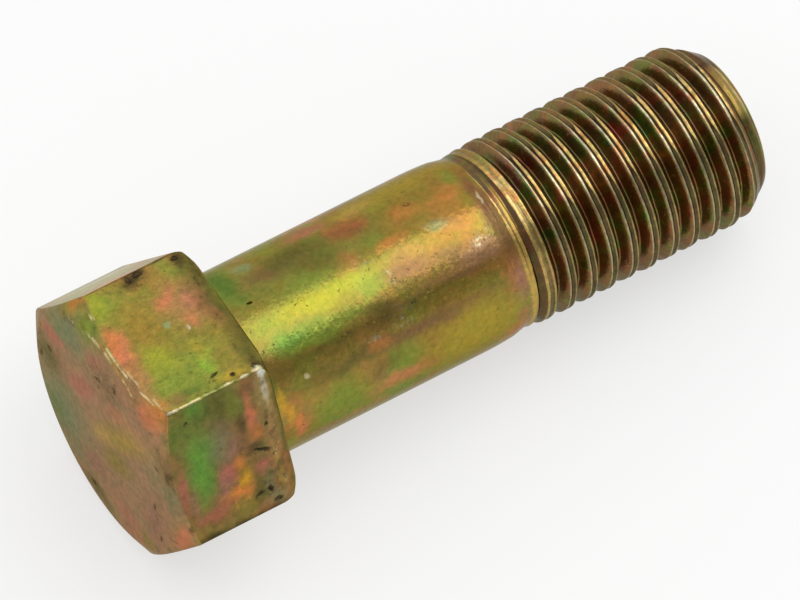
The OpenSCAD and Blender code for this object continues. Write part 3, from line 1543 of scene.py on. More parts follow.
TOP_FLAT_FILMS = patches(
    Side.TOP_FLAT,
    (Film.OLIVE, -3.3, 0.0, 6.0, 6.0, 0.9),
    (Film.MOSS, -5.4, -3.0, 1.5, 1.2, 0.8),
    (Film.LIME, -5.8, -3.2, 0.6, 0.9, 0.6),
    (Film.AMBER, -4.4, -1.0, 1.0, 1.6, 0.6),
    (Film.SALMON, -6.1, -0.2, 0.75, 1.6, 0.85),
    (Film.ORANGE, -6.2, -0.9, 0.4, 0.8, 0.6),
    (Film.TAN, -6.1, 2.0, 0.65, 1.7, 0.85),
    (Film.ORANGE, -5.9, 3.1, 0.5, 0.6, 0.5),
    (Film.LIME, -4.7, 1.1, 1.0, 1.1, 0.7),
    (Film.MOSS, -4.8, 2.4, 1.2, 1.0, 0.8),
    (Film.MOSS, -3.2, 2.2, 1.7, 1.4, 0.85),
    (Film.BRIGHT_GREEN, -2.6, 2.4, 0.4, 0.8, 0.7),
    (Film.GOLD, -2.7, 1.5, 0.25, 0.7, 0.7, 0.0, 15.0),
    (Film.TAN, -2.0, -1.2, 1.5, 1.5, 0.85),
    (Film.SALMON, -2.9, -1.7, 0.65, 0.5, 0.55, 0.0, 30.0),
    (Film.SALMON, -2.3, -1.9, 0.35, 0.6, 0.35),
    (Film.ROSE, -1.3, -1.2, 0.6, 0.9, 0.45),
    (Film.SALMON, -2.1, -0.2, 0.5, 0.5, 0.45),
    (Film.RUST, -0.9, -0.4, 0.5, 1.4, 0.5),
    (Film.OLIVE, -1.6, 2.4, 1.0, 1.3, 0.8),
    (Film.MOSS, -1.3, -3.0, 0.9, 0.7, 0.7),
    (Film.UMBER, -5.0, 3.4, 1.0, 0.4, 0.6),
    (Film.FERN, -4.0, 3.3, 0.9, 0.35, 0.6),
    (Film.DARK_OLIVE, -0.9, -2.6, 0.7, 1.3, 0.7),
    (Film.UMBER, -0.8, -0.6, 0.5, 1.6, 0.6),
    (Film.DARK_OLIVE, -0.8, 2.6, 0.6, 1.8, 0.7),
    # Darker strip along the eased bearing edge: painted shade
    (Film.DARK_OLIVE, -0.3, 0.0, 0.4, 5.0, 0.85),
    (Film.SOOT, -3.35, -3.65, 0.95, 0.6, 0.85),
    (Film.SOOT, -0.8, -3.5, 0.4, 0.6, 0.7),
    (Film.SOOT, -0.6, 3.65, 0.4, 0.25, 0.65),
)
TOP_FLAT_MARKS = patches(
    Side.TOP_FLAT,
    (Film.TEAL, -3.35, -0.45, 0.2, 0.2, 0.6),
    (Film.CREAM, -2.45, 0.15, 0.1, 0.12, 0.4),
    (Film.SOOT, -3.65, -3.6, 0.2, 0.26, 0.85, 0.0, 15.0),
    (Film.SOOT, -3.05, -3.7, 0.34, 0.2, 0.85, 0.0, 10.0),
    (Film.SOOT, -3.4, -3.4, 0.9, 0.6, 1.0, 1.0),
    # Broken dark line along the eased bearing edge: painted shade
    (Film.SOOT, -0.3, -2.8, 0.14, 1.2, 0.8, 0.6),
    # Cream and ochre strokes along the edge to the end face: painted highlight on the rounded edge
    (Film.CREAM, -6.3, -3.0, 0.09, 0.7, 0.8, 0.3, -8.0),
    (Film.OCHRE, -6.7, 0.0, 0.12, 1.0, 0.8, 0.4),
    (Film.SOOT, -1.0, -3.6, 0.24, 0.16, 0.8),
    (Film.SOOT, -0.75, -3.2, 0.35, 0.9, 0.7, 1.0),
    (Film.GOLD, -2.1, 3.55, 0.8, 0.28, 0.75),
    (Film.SOOT, -2.8, 3.12, 0.26, 0.1, 0.9, 0.0, 12.0),
    (Film.SOOT, -2.0, 3.55, 0.15, 0.12, 0.95),
    (Film.SOOT, -0.75, 3.6, 0.2, 0.14, 0.9),
    # Along the same edge: a thin dark line and specks of painted shade, then more cream strokes of
    # painted highlight
    (Film.UMBER, -6.66, -0.3, 0.1, 1.7, 0.8),
    (Film.SOOT, -6.5, -2.2, 0.1, 0.9, 0.7, 1.0),
    (Film.CREAM, -6.45, 1.4, 0.09, 0.7, 0.6, 0.6),
    (Film.CREAM, -6.15, 3.3, 0.12, 0.55, 0.6, 0.5, -12.0),
    # Cream strokes along the edge to the front flat: painted highlight on the rounded edge, with a
    # dark line of painted shade beside them
    (Film.CREAM, -5.75, 3.95, 0.5, 0.12, 1.0),
    (Film.CREAM, -4.55, 3.95, 0.45, 0.09, 0.8, 0.5),
    (Film.CREAM, -3.5, 3.93, 0.5, 0.07, 0.6, 0.8),
    (Film.CREAM, -2.5, 3.9, 0.35, 0.09, 0.75, 0.5),
    (Film.CREAM, -1.55, 3.93, 0.35, 0.1, 0.9, 0.3),
    (Film.CREAM, -0.7, 3.85, 0.3, 0.2, 0.95),
    (Film.SOOT, -2.9, 3.75, 1.6, 0.08, 0.8, 0.8),
    (Film.SOOT, -3.0, -3.95, 3.2, 0.07, 0.7, 0.5),
)
FRONT_FLAT_FILMS = patches(
    Side.FRONT_FLAT,
    (Film.UMBER, -3.5, 0.0, 6.0, 6.0, 0.9),
    (Film.FERN, -4.6, -3.1, 2.0, 1.2, 0.7),
    (Film.DARK_OLIVE, -3.3, -3.0, 1.2, 1.1, 0.8),
    (Film.GREEN, -4.5, -3.4, 0.6, 0.5, 0.5),
    (Film.MOSS, -2.6, -2.7, 0.6, 1.0, 0.5),
    (Film.FERN, -5.9, -2.6, 0.45, 1.3, 0.55),
    (Film.GREEN, -5.1, 0.0, 0.85, 2.6, 0.9),
    (Film.GREEN, -4.5, -0.9, 0.8, 1.2, 0.7),
    (Film.SAGE, -3.7, -0.9, 0.9, 1.4, 0.75),
    (Film.MAUVE, -3.1, -0.4, 0.5, 0.8, 0.6),
    (Film.SALMON, -1.7, -1.9, 0.35, 1.3, 0.7),
    (Film.ORANGE, -1.75, -0.6, 0.45, 0.6, 0.5),
    (Film.SOOT, -2.35, -1.6, 0.35, 0.7, 0.5),
    (Film.SOOT, -2.0, 0.2, 0.5, 0.35, 0.5, 0.0, 20.0),
    (Film.ROSE, -3.7, 0.8, 0.65, 0.6, 0.8),
    (Film.MAUVE, -4.1, 1.5, 0.5, 1.0, 0.7),
    (Film.ROSE, -6.2, 0.5, 0.3, 1.4, 0.65),
    (Film.MAUVE, -5.75, 1.8, 0.3, 1.0, 0.5),
    (Film.ORANGE, -3.3, 2.2, 1.0, 0.6, 1.0),
    (Film.AMBER, -2.8, 1.3, 0.6, 1.0, 0.9),
    (Film.HONEY, -2.95, 1.6, 0.6, 0.26, 0.65, 0.0, 40.0),
    (Film.ORANGE, -2.9, 0.6, 0.4, 0.4, 0.7),
    (Film.ROSE, -4.9, 2.7, 1.2, 0.5, 0.65),
    (Film.OLIVE, -3.2, 3.1, 0.9, 0.6, 0.75),
    (Film.ROSE, -1.8, 1.4, 0.5, 0.45, 0.65),
    (Film.DARK_OLIVE, -2.2, 2.5, 0.5, 0.7, 0.75),
    (Film.SAGE, -1.6, 2.4, 0.35, 0.7, 0.5),
    (Film.RUST, -5.0, 2.9, 1.3, 0.7, 0.4),
    (Film.TAN, -1.9, 3.5, 0.6, 0.4, 0.5),
    (Film.TAN, -0.85, 0.0, 0.5, 5.0, 0.7),
    (Film.BRASS, -0.8, -2.6, 0.45, 1.6, 0.8),
    (Film.SAGE, -1.3, 3.4, 0.8, 0.6, 0.7),
    (Film.GOLD, -0.9, 2.0, 0.3, 1.6, 0.45),
    # Darker strip along the eased bearing edge: painted shade
    (Film.DARK_OLIVE, -0.2, 0.0, 0.2, 5.0, 0.6),
    (Film.SOOT, -3.6, 4.0, 4.5, 0.36, 0.9),
)
FRONT_FLAT_MARKS = patches(
    Side.FRONT_FLAT,
    (Film.SOOT, -5.2, -3.0, 0.14, 0.12, 0.5),
    (Film.SOOT, -1.05, -0.85, 0.12, 0.14, 0.85),
    (Film.SOOT, -1.6, 0.4, 0.5, 0.09, 0.95, 0.0, -25.0),
    (Film.SOOT, -1.65, 2.75, 0.16, 0.2, 0.95),
    (Film.SOOT, -2.3, 2.8, 0.32, 0.12, 0.8, 0.0, 20.0),
    (Film.SOOT, -0.95, 0.95, 0.2, 0.08, 0.6),
    (Film.SOOT, -0.75, 2.5, 0.12, 0.18, 0.7),
    (Film.SOOT, -1.4, 3.5, 0.3, 0.12, 0.7),
    (Film.SOOT, -1.7, 2.7, 1.0, 1.1, 1.0, 1.0),
    (Film.STRAW_GREY, -0.85, 1.2, 0.3, 2.4, 0.7, 1.0),
    (Film.SOOT, -2.3, 0.1, 0.8, 0.6, 0.6, 1.0),
    (Film.HONEY, -3.3, 2.2, 0.9, 0.8, 0.9, 1.0),
    (Film.SOOT, -1.0, -2.8, 0.12, 0.9, 0.4, 0.8),
    # Cream strokes along the edge to the top flat, and zinc at its corner by the bearing side:
    # painted highlight
    (Film.CREAM, -5.75, -3.95, 0.45, 0.08, 0.9),
    (Film.CREAM, -1.55, -3.93, 0.35, 0.07, 0.7, 0.4),
    (Film.ZINC, -0.55, -3.75, 0.32, 0.36, 0.95),
    (Film.ZINC, -0.65, -2.8, 0.2, 0.9, 0.5, 0.3),
)
# The back flat's pale film is partly its own colour and partly a painted reflection of the bright
# floor
BACK_FLAT_FILMS_AND_SHEEN = patches(
    Side.BACK_FLAT,
    (Film.STRAW_GREY, -3.6, 0.0, 6.0, 6.0, 0.3),
    (Film.ZINC, -3.0, -2.0, 3.0, 1.6, 0.35),
)
END_FACE_FILMS = patches(
    Side.END_FACE,
    (Film.CLAY, 0.0, 0.0, 14.0, 14.0, 0.92),
    (Film.PEACH, -2.4, -3.0, 2.0, 1.2, 0.4, 0.0, 45.0),
    (Film.GOLD, -1.5, -1.4, 2.8, 1.0, 0.7, 0.0, 45.0),
    (Film.OCHRE, 0.3, 0.6, 1.7, 0.8, 0.5, 0.0, 45.0),
    (Film.OLIVE, -1.3, 1.1, 1.8, 1.0, 0.85, 0.0, 45.0),
    (Film.ROSE, 1.6, -4.6, 1.0, 0.6, 0.45, 0.0, 45.0),
    (Film.UMBER, 0.0, -4.0, 1.0, 1.3, 0.4),
    (Film.LICHEN, 4.2, -4.0, 2.8, 1.7, 1.0, 0.0, 50.0),
    (Film.LICHEN, 3.9, 3.2, 2.9, 2.6, 1.0, 0.0, 30.0),
    (Film.SAGE, 2.2, 5.0, 1.4, 0.8, 0.6),
    (Film.FERN, 4.2, 3.8, 1.0, 1.2, 0.4),
    (Film.MOSS, 2.6, -6.5, 1.2, 1.7, 1.0),
    (Film.GOLD, 4.3, -6.1, 1.8, 0.7, 1.0, 0.0, 55.0),
    (Film.ORANGE, 4.3, -6.3, 0.9, 0.5, 1.0, 0.0, 55.0),
    (Film.FERN, 1.6, -7.3, 0.7, 0.6, 0.6),
    (Film.ORANGE, -3.6, -6.7, 1.4, 0.9, 0.9),
    (Film.SALMON, -3.0, -5.9, 1.2, 0.7, 0.5),
    (Film.TAN, -1.6, -6.3, 0.9, 0.7, 0.6),
    (Film.UMBER, -5.4, -4.2, 0.9, 1.8, 0.6),
    (Film.SALMON, -6.8, -4.6, 0.6, 0.9, 0.6),
    (Film.SAGE, -6.0, -2.2, 0.8, 1.1, 0.75),
    (Film.SAGE, -4.4, -1.8, 0.7, 1.0, 0.45, 0.0, 30.0),
    (Film.MAUVE, -5.0, 1.8, 1.2, 2.0, 0.6),
    (Film.SALMON, -7.2, 0.2, 0.5, 1.3, 0.8),
    (Film.ROSE, -2.8, 4.4, 1.8, 1.1, 0.5),
    (Film.MAUVE, 0.6, 3.9, 1.2, 0.9, 0.85, 0.0, 45.0),
    (Film.ROSE, 2.4, -1.0, 1.9, 0.8, 0.65, 0.0, 45.0),
    (Film.SALMON, -0.6, -2.6, 1.4, 0.6, 0.35, 0.0, 45.0),
    (Film.ROSE, 5.3, -1.9, 1.4, 0.6, 0.8, 0.0, 20.0),
    (Film.DARK_OLIVE, 5.5, 0.3, 1.0, 1.2, 0.85),
    (Film.OLIVE, -4.5, 4.2, 0.9, 0.7, 0.8),
    (Film.DARK_OLIVE, 0.2, 5.9, 1.5, 0.6, 0.8),
    (Film.GOLD, 0.6, -6.9, 1.1, 0.4, 0.8),
    (Film.SALMON, 0.4, -7.4, 1.0, 0.4, 0.8),
)
END_FACE_MARKS = patches(
    Side.END_FACE,
    (Film.SOOT, 5.4, -0.3, 0.3, 0.24, 0.6),
    (Film.SOOT, 6.1, 1.0, 0.16, 0.3, 0.5),
    (Film.SOOT, -4.6, -3.2, 0.22, 0.14, 0.5),
    (Film.SOOT, -5.6, 2.2, 0.12, 0.24, 0.6),
    (Film.SOOT, 0.5, 5.7, 0.34, 0.16, 0.6),
    (Film.STRAW_GREY, 5.2, -0.2, 1.0, 0.9, 0.5, 1.0),
    (Film.SOOT, 5.3, 0.1, 1.6, 1.6, 1.0, 0.85),
    (Film.SOOT, -6.4, 3.3, 1.4, 0.3, 0.9, 0.6, 40.0),
    (Film.SOOT, 0.3, 5.8, 1.4, 0.5, 0.8, 1.0),
    (Film.SOOT, -5.1, 1.0, 0.5, 1.7, 0.9, 1.0),
    (Film.SOOT, -4.8, 0.3, 0.12, 0.3, 0.6, 0.0, 10.0),
    (Film.SOOT, 0.4, -4.1, 1.9, 1.4, 1.0, 0.9, 45.0),
    (Film.SOOT, 1.1, -3.6, 0.34, 0.13, 0.6, 0.0, 35.0),
    (Film.SOOT, -0.4, -4.7, 0.26, 0.15, 0.5, 0.0, -20.0),
    (Film.GOLD, 0.1, -6.6, 1.4, 0.2, 0.7, 0.6),
)
SHANK_FILMS = patches(
    Side.ROUND,
    (Film.OLIVE, 4.0, 200.0, 6.0, 75.0, 0.7),
    (Film.AMBER, 12.3, 200.0, 3.6, 80.0, 0.7),
    (Film.FERN, 1.2, 150.0, 0.8, 20.0, 0.85),
    (Film.TEAL, 2.6, 147.0, 0.6, 6.0, 0.65),
    (Film.UMBER, 3.3, 163.0, 1.6, 8.0, 0.7),
    (Film.DARK_OLIVE, 5.0, 157.0, 2.4, 13.0, 0.9),
    (Film.DARK_OLIVE, 5.9, 171.0, 1.5, 8.0, 0.6),
    (Film.ROSE, 6.6, 141.0, 1.5, 7.0, 0.65),
    (Film.GOLD, 9.0, 139.0, 1.2, 7.0, 0.7),
    (Film.GOLD, 12.2, 142.0, 3.2, 11.0, 0.85),
    (Film.RUST, 8.3, 160.0, 1.4, 11.0, 0.75),
    (Film.OLIVE, 9.6, 166.0, 0.6, 8.0, 0.7),
    (Film.ORANGE, 11.2, 167.0, 1.3, 9.0, 0.5),
    (Film.ORANGE, 13.6, 169.0, 1.1, 10.0, 0.5),
    (Film.MOSS, 14.3, 155.0, 0.6, 9.0, 0.65),
    (Film.MOSS, 1.8, 193.0, 1.8, 10.0, 0.8),
    (Film.STRAW, 4.6, 192.0, 2.6, 9.0, 0.85),
    (Film.LIME, 6.9, 190.0, 1.4, 7.0, 0.6),
    (Film.MOSS, 4.4, 180.0, 2.4, 6.0, 0.7),
    (Film.ORANGE, 9.6, 181.0, 1.0, 5.0, 0.65),
    (Film.UMBER, 13.8, 203.0, 0.9, 7.0, 0.5),
    (Film.MOSS, 7.6, 197.0, 1.2, 8.0, 0.8),
    (Film.BRIGHT_GREEN, 3.4, 212.0, 2.2, 4.0, 0.5),
    (Film.GREEN, 2.4, 206.0, 2.3, 7.0, 0.75),
    (Film.MOSS, 5.5, 208.0, 2.6, 7.0, 0.75),
    (Film.TAN, 9.9, 197.0, 1.4, 13.0, 0.8),
    (Film.UMBER, 9.5, 199.0, 1.4, 8.0, 0.8),
    (Film.UMBER, 12.0, 203.0, 2.0, 7.0, 0.7),
    (Film.TEAL, 12.2, 182.0, 0.8, 3.5, 0.5),
    (Film.CLAY, 13.6, 210.0, 1.7, 7.0, 0.65),
    (Film.TAN, 11.4, 213.0, 2.6, 4.0, 0.7),
    (Film.UMBER, 9.4, 234.0, 5.6, 6.0, 0.9),
    (Film.STRAW, 12.2, 255.0, 2.6, 17.0, 0.7),
    (Film.OCHRE, 9.4, 144.0, 1.2, 6.0, 0.55),
    (Film.SALMON, 1.7, 262.0, 0.45, 11.0, 0.7),
    (Film.MOSS, 3.9, 254.0, 2.3, 14.0, 0.85),
    (Film.DARK_OLIVE, 4.6, 234.0, 3.2, 7.0, 0.6),
    (Film.DARK_OLIVE, 7.5, 215.0, 1.0, 10.0, 0.75),
    (Film.ORANGE, 6.7, 233.0, 0.9, 4.0, 0.5),
    (Film.DARK_OLIVE, 6.8, 247.0, 1.3, 8.0, 0.6),
    (Film.MOSS, 8.3, 249.0, 0.9, 8.0, 0.7),
    (Film.SALMON, 7.7, 263.0, 2.0, 7.5, 0.7),
    (Film.GOLD, 12.0, 255.0, 2.9, 22.0, 0.9),
    (Film.MAUVE, 15.1, 238.0, 0.6, 14.0, 0.8),
    (Film.ROSE, 15.0, 262.0, 0.5, 9.0, 0.5),
    (Film.MAUVE, 3.5, 279.0, 3.0, 5.0, 0.6),
    (Film.RUST, 15.1, 172.0, 0.5, 24.0, 0.75),
    (Film.UMBER, 15.1, 195.0, 0.6, 34.0, 0.9),
)
SHANK_MARKS = patches(
    Side.ROUND,
    (Film.CREAM, 13.8, 204.0, 0.7, 3.6, 0.75, 0.9),
    (Film.ZINC, 14.3, 200.0, 0.5, 5.0, 0.4, 1.0),
    (Film.ZINC, 8.7, 197.0, 0.16, 11.0, 0.5, 1.0),
    (Film.HONEY, 0.8, 237.0, 0.26, 9.0, 0.5),
    (Film.HONEY, 1.15, 248.0, 0.26, 8.0, 0.45),
    (Film.ORANGE, 1.55, 256.0, 0.25, 8.0, 0.7),
    (Film.ZINC, 8.4, 222.0, 0.8, 7.0, 0.45, 1.0),
    (Film.ZINC, 7.0, 227.0, 1.0, 3.0, 0.4, 1.0),
    (Film.TEAL, 7.7, 186.0, 0.8, 5.0, 0.6, 1.0),
    (Film.GOLD, 10.2, 190.0, 1.6, 7.0, 0.6, 0.8),
    # The next four broken soot lines, at 214 to 220 degrees, are painted reflection: they sharpen
    # the dark band that the surroundings reflect there
    (Film.SOOT, 9.0, 220.0, 0.9, 3.0, 0.7, 1.0),
    (Film.SOOT, 11.0, 217.0, 2.9, 2.0, 0.8, 0.85),
    (Film.SOOT, 8.8, 214.0, 0.5, 5.0, 0.7, 1.0),
    (Film.SOOT, 5.2, 218.0, 2.8, 2.0, 0.7, 0.85),
    (Film.SOOT, 12.6, 229.0, 1.2, 3.0, 0.6, 1.0),
    (Film.CREAM, 2.5, 229.0, 0.16, 1.6, 0.5),
    # Cream arc on the shoulder's edge: painted highlight
    (Film.CREAM, 15.0, 180.0, 0.09, 5.0, 0.5),
    (Film.SOOT, 1.6, 175.0, 0.2, 1.2, 0.6),
    (Film.SOOT, 11.6, 162.0, 0.2, 1.4, 0.6),
)


# Where the edges wear more: the edge to the end face and the edge between the two seen flats, where
# the bare dashes are also a painted highlight
WORN_AND_HIGHLIT_PLACES = patches(
    Side.TOP_FLAT,
    (Film.ZINC, -6.4, 0.0, 0.7, 4.4, 0.5),
    (Film.ZINC, -3.4, 3.95, 3.0, 0.3, 0.4),
)


@dataclass(frozen=True)
class HeadFinish(Finish):
    """Finish of the head: film colours, edges worn and with a painted highlight, and pits."""

    name: str = "plated_head"
    mottle: float = 0.62
    roughness: float = 0.4
    waves: float = 0.02
    pits: float = 0.02
    edge_width: float = 0.075
    wear: float = 0.24
    wear_core: float = 0.5
    bare_roughness: float = 0.3
    far: float = 99.0

    def surface_distances(self, graph: Graph, point: object) -> list[object]:
        """Measures how far a point is from each surface of the head.

        Args:
            graph: The material's tree.
            point: The point on the upright bolt.

        Returns:
            The distances to the three pairs of flats, the end face, its chamfer and the
            nearest eased edge.
        """
        head = self.head
        height = graph.split(point)["Z"]
        reaches = []
        for angle in (0.0, math.pi / 3, 2 * math.pi / 3):
            normal = (math.cos(angle), math.sin(angle), 0.0)
            dot = graph.vector("DOT_PRODUCT", point, normal).outputs["Value"]
            reaches.append(graph.math("ABSOLUTE", dot))
        distances = [graph.math("SUBTRACT", head.flat_distance, reach) for reach in reaches]
        above_end = graph.math("SUBTRACT", height, -head.height)
        distances.append(above_end)
        radius = graph.vector("LENGTH", graph.stretch(point, LEVEL)).outputs["Value"]
        past_circle = graph.math("SUBTRACT", radius, head.end_circle / 2)
        slope = math.radians(head.end_chamfer)
        rise = graph.times(above_end, math.cos(slope))
        run = graph.times(past_circle, math.sin(slope))
        distances.append(graph.math("SUBTRACT", rise, run))
        widest = graph.math("MAXIMUM", graph.math("MAXIMUM", *reaches[:2]), reaches[2])
        past_flat = graph.math("SUBTRACT", widest, head.flat_distance)
        above_edge = graph.math("ADD", height, head.eased_length)
        lean = math.atan2(head.eased_depth, head.eased_length)
        out = graph.times(past_flat, math.cos(lean))
        up = graph.times(above_edge, math.sin(lean))
        distances.append(graph.math("ADD", out, up))
        return distances

    def edge_distance(self, graph: Graph, point: object) -> object:
        """Measures how far a point is from the nearest edge of the head.

        Args:
            graph: The material's tree.
            point: The point on the upright bolt.

        Returns:
            The distance, as the second smallest distance to the head's surfaces.
        """
        least: object = self.far
        second: object = self.far
        for distance in self.surface_distances(graph, point):
            away = graph.math("ABSOLUTE", distance)
            second = graph.math("MINIMUM", second, graph.math("MAXIMUM", least, away))
            least = graph.math("MINIMUM", least, away)
        return second

    def dress(self, graph: Graph, point: object, colour: object) -> tuple[object, object]:
        """Wears the edges of the head, most of all the one between the two seen flats; the bare
        dashes also stand for a painted highlight on the rounded edges.

        Args:
            graph: The material's tree.
            point: The point on the upright bolt.
            colour: The film's colour so far.

        Returns:
            The finished colour, and a roughness.
        """
        level = self.lay(graph, grey(self.wear), point, WORN_AND_HIGHLIT_PLACES, self.wear_core)
        wear_and_painted_light = graph.place(
            EdgeWearAndHighlight(), Below=colour, Point=point, Distance=self.edge_distance(graph, point),
            Width=self.edge_width, Amount=level, Metal=Film.STRAW_GREY.colour,
        )
        roughness = graph.spread(wear_and_painted_light["BareAndHighlight"], self.roughness, self.bare_roughness)
        return wear_and_painted_light["Colour"], roughness


@dataclass(frozen=True)
class ShankFinish(Finish):
    """Finish of the plain shank: glossier, with fine ribs across it and grime at its ends."""

    name: str = "plated_shank"
    roughness: float = 0.22
    pits: float = 0.02
    ribs: float = 0.03
    mottle: float = 0.5
    mottle_scale: float = 3.2
    films: tuple[Patch, ...] = SHANK_FILMS
    marks: tuple[Patch, ...] = SHANK_MARKS


@dataclass(frozen=True)
class ThreadZones:
    """Node outputs that say where on the thread a point lies, most as shares of 0 to 1."""

    point: object
    height: object
    outward: object
    aside: object
    tipward: object
    rubbed: object
    shaded: object
    patchy: object
    first: object


@dataclass(frozen=True)
class ThreadFinish(Finish):
    """Finish of the thread: lips along the crests with a painted highlight on the lamp's side, and
    flanks and roots darkened by grease and painted shade.

    Widths and heights are in millimetres, sides and reaches in degrees round the bolt. The
    first crest is the one that is still open, next to the collar.
    """

    name: str = "plated_thread"
    roughness: float = 0.26
    radius: float = 4.8
    drift_scale: float = 0.7
    drift_thickness: float = -0.15
    mottle: float = 0.5
    edge_tint: Colour = THREAD_GLANCE
    waver: float = 0.6
    thread: Thread = field(default_factory=Thread)
    crest_waver: float = 0.05
    crest_waver_scale: float = 1.7
    crest_middle: float = 0.03
    seam: float = 0.045
    lip: float = 0.085
    dull_seam: float = 0.1
    dull_lip: float = 0.16
    seam_range: tuple[float, float] = (0.3, 1.1)
    least_seam: float = 0.75
    lip_mottle: float = 0.85
    lip_mottle_scale: float = 4.0
    dull_share: float = 0.7
    blush_range: tuple[float, float] = (0.48, 0.62)
    blush_share: float = 0.7
    highlight_strength_range: tuple[float, float] = (1.0, 0.4)
    flank: float = 0.22
    flank_edge: float = 0.86
    root: float = 0.5
    root_soot_and_shade: float = 0.2
    soft_share: float = 0.5
    patchy_range: tuple[float, float] = (0.38, 0.62)
    grease_and_shade_range: tuple[float, float] = (0.5, 0.82)
    # The first crest carries a painted highlight: its crest colour reaches wider, its lips turn
    # ochre and its seam is weaker
    first_end: float = 17.5
    first_flare: float = 0.1
    first_highlight: float = 0.8
    first_range: tuple[float, float] = (0.2, 0.8)
    first_seam: float = 0.35
    collar: float = 15.83
    collar_side: float = 232.0
    collar_reach: float = 76.0
    collar_width: float = 0.17
    collar_core: float = 0.07
    collar_highlight: float = 0.85
    neck_near: float = 0.02
    neck_far: float = 0.16
    neck_shade: float = 0.6
    tip_start: float = 29.3
    tip_fade: float = 0.4
    tip_share: float = 0.45
    tip_face: float = 30.2
    face_fade: float = 0.1
    full_facing: float = 0.45
    # Painted highlight on the lips round the highlight side, where the lamp would be reflected, and
    # painted shade round the shaded side
    highlight_side: float = 186.0
    highlight_reach: float = 26.0
    shaded_side: float = 120.0
    shaded_reach: float = 46.0
    shaded_share: float = 0.62
    lower_side: float = 246.0
    lower_reach: float = 60.0
    lower_share: float = 0.65
    # Colours of grease and painted shade in the grooves
    groove_grime_and_shade: tuple[tuple[float, Film], ...] = (
        (0.36, Film.GARNET), (0.46, Film.GREASE), (0.54, Film.GREASE), (0.63, Film.DEEP_GREEN),
    )
    lit_lower_colours: tuple[tuple[float, Film], ...] = (
        (0.36, Film.RUST), (0.45, Film.BRONZE), (0.52, Film.UMBER), (0.58, Film.OLIVE),
        (0.66, Film.FERN),
    )

    def facing(self, graph: Graph, outward: object, side: float, reach: float) -> object:
        """Tells how far the surface faces one side of the bolt.

        Args:
            graph: The material's tree.
            outward: The direction outwards from the axis.
            side: Angle of that side.
            reach: Angle from it at which the share has gone down to nothing.

        Returns:
            The share, 1 at the side itself.
        """
        angle = math.radians(side)
        towards = (math.cos(angle), math.sin(angle), 0.0)
        dot = graph.vector("DOT_PRODUCT", outward, towards).outputs["Value"]
        far = math.cos(math.radians(reach))
        near = math.cos(math.radians(self.full_facing * reach))
        return graph.remap(dot, far, near)

    def crest_distance(self, graph: Graph, parts: bpy.types.NodeOutputs) -> object:
        """Measures how far a point is from the middle of the nearest crest, along the bolt.

        Args:
            graph: The material's tree.
            parts: The point taken apart.

        Returns:
            The distance, above 0 on the side of the tip.
        """
        angle = graph.math("ARCTAN2", parts["Y"], parts["X"])
        wound = graph.times(angle, self.thread.pitch / FULL_TURN)
        rest = graph.math("SUBTRACT", parts["Z"], self.thread.crest_offset)
        turns = graph.math("DIVIDE", graph.math("SUBTRACT", rest, wound), self.thread.pitch)
        aside = graph.math("SUBTRACT", turns, graph.math("ROUND", turns))
        return graph.times(aside, self.thread.pitch)

    def zones(self, graph: Graph, point: object) -> ThreadZones:
        """Works out where a point of the thread lies.

        Args:
            graph: The material's tree.
            point: The point on the upright bolt.

        Returns:
            Its zones.
        """
        wavy = graph.place(
            Waver(), Point=point, Scale=self.crest_waver_scale, Amount=self.crest_waver
        )["Point"]
        parts = graph.split(wavy)
        signed = self.crest_distance(graph, parts)
        past_crest = graph.remap(signed, -self.crest_middle, self.crest_middle)
        first = graph.remap(parts["Z"], self.first_end, self.collar)
        outward = graph.vector("NORMALIZE", graph.stretch(point, LEVEL)).outputs["Vector"]
        # Painted shade round the shaded side of the thread
        shaded = self.facing(graph, outward, self.shaded_side, self.shaded_reach)
        uneven = graph.noise(point, scale=1.6, detail=4.0, roughness=0.7)["Fac"]
        return ThreadZones(
            point=point,
            height=parts["Z"],
            outward=outward,
            aside=graph.math("ABSOLUTE", signed),
            tipward=graph.math("MAXIMUM", past_crest, first),
            rubbed=self.facing(graph, outward, self.highlight_side, self.highlight_reach),
            shaded=graph.times(shaded, self.shaded_share),
            patchy=graph.remap(uneven, *self.patchy_range),
            first=first,
        )

    def flanks(self, graph: Graph, zones: ThreadZones, colour: object, soft: object) -> object:
        """Colours the flanks and roots: grease darkened further as painted shade, painted light on
        the lower side, and painted shade with soot deep down.

        Args:
            graph: The material's tree.
            zones: Where the point lies.
            colour: The film's colour so far.
            soft: The colour of the painted shade on the shaded side.

        Returns:
            The colour.
        """
        # Painted shade in the grooves, mixed with grease: the flanks are darkened towards brown,
        # red and green
        grease_and_shade = graph.spread(zones.patchy, *self.grease_and_shade_range, smooth=False)
        tint = graph.noise(zones.point, scale=0.7)["Fac"]
        flank = graph.mix(grease_and_shade, colour, graph.ramp(tint, film_stops(self.groove_grime_and_shade)))
        flank = graph.mix(zones.shaded, flank, soft)
        # Painted light: the flanks round the lower side are lighter and warmer
        lower = self.facing(graph, zones.outward, self.lower_side, self.lower_reach)
        drift = graph.noise(zones.point, scale=0.95, detail=3.0, roughness=0.6)["Fac"]
        lit = graph.ramp(drift, film_stops(self.lit_lower_colours))
        flank = graph.mix(graph.times(lower, self.lower_share), flank, lit)
        # Darker still towards the root: painted shade, with soot
        deep = graph.remap(zones.aside, self.flank, self.root, 0.0, self.root_soot_and_shade)
        flank = graph.mix(deep, flank, Film.SOOT.colour)
        # Painted shade on the flanks just past the collar, in the first turn
        near, far = self.collar + self.neck_near, self.collar + self.neck_far
        neck = graph.remap(zones.height, near, far, 0.0, self.neck_shade)
        return graph.mix(graph.times(neck, zones.first), flank, Film.SOOT.colour)

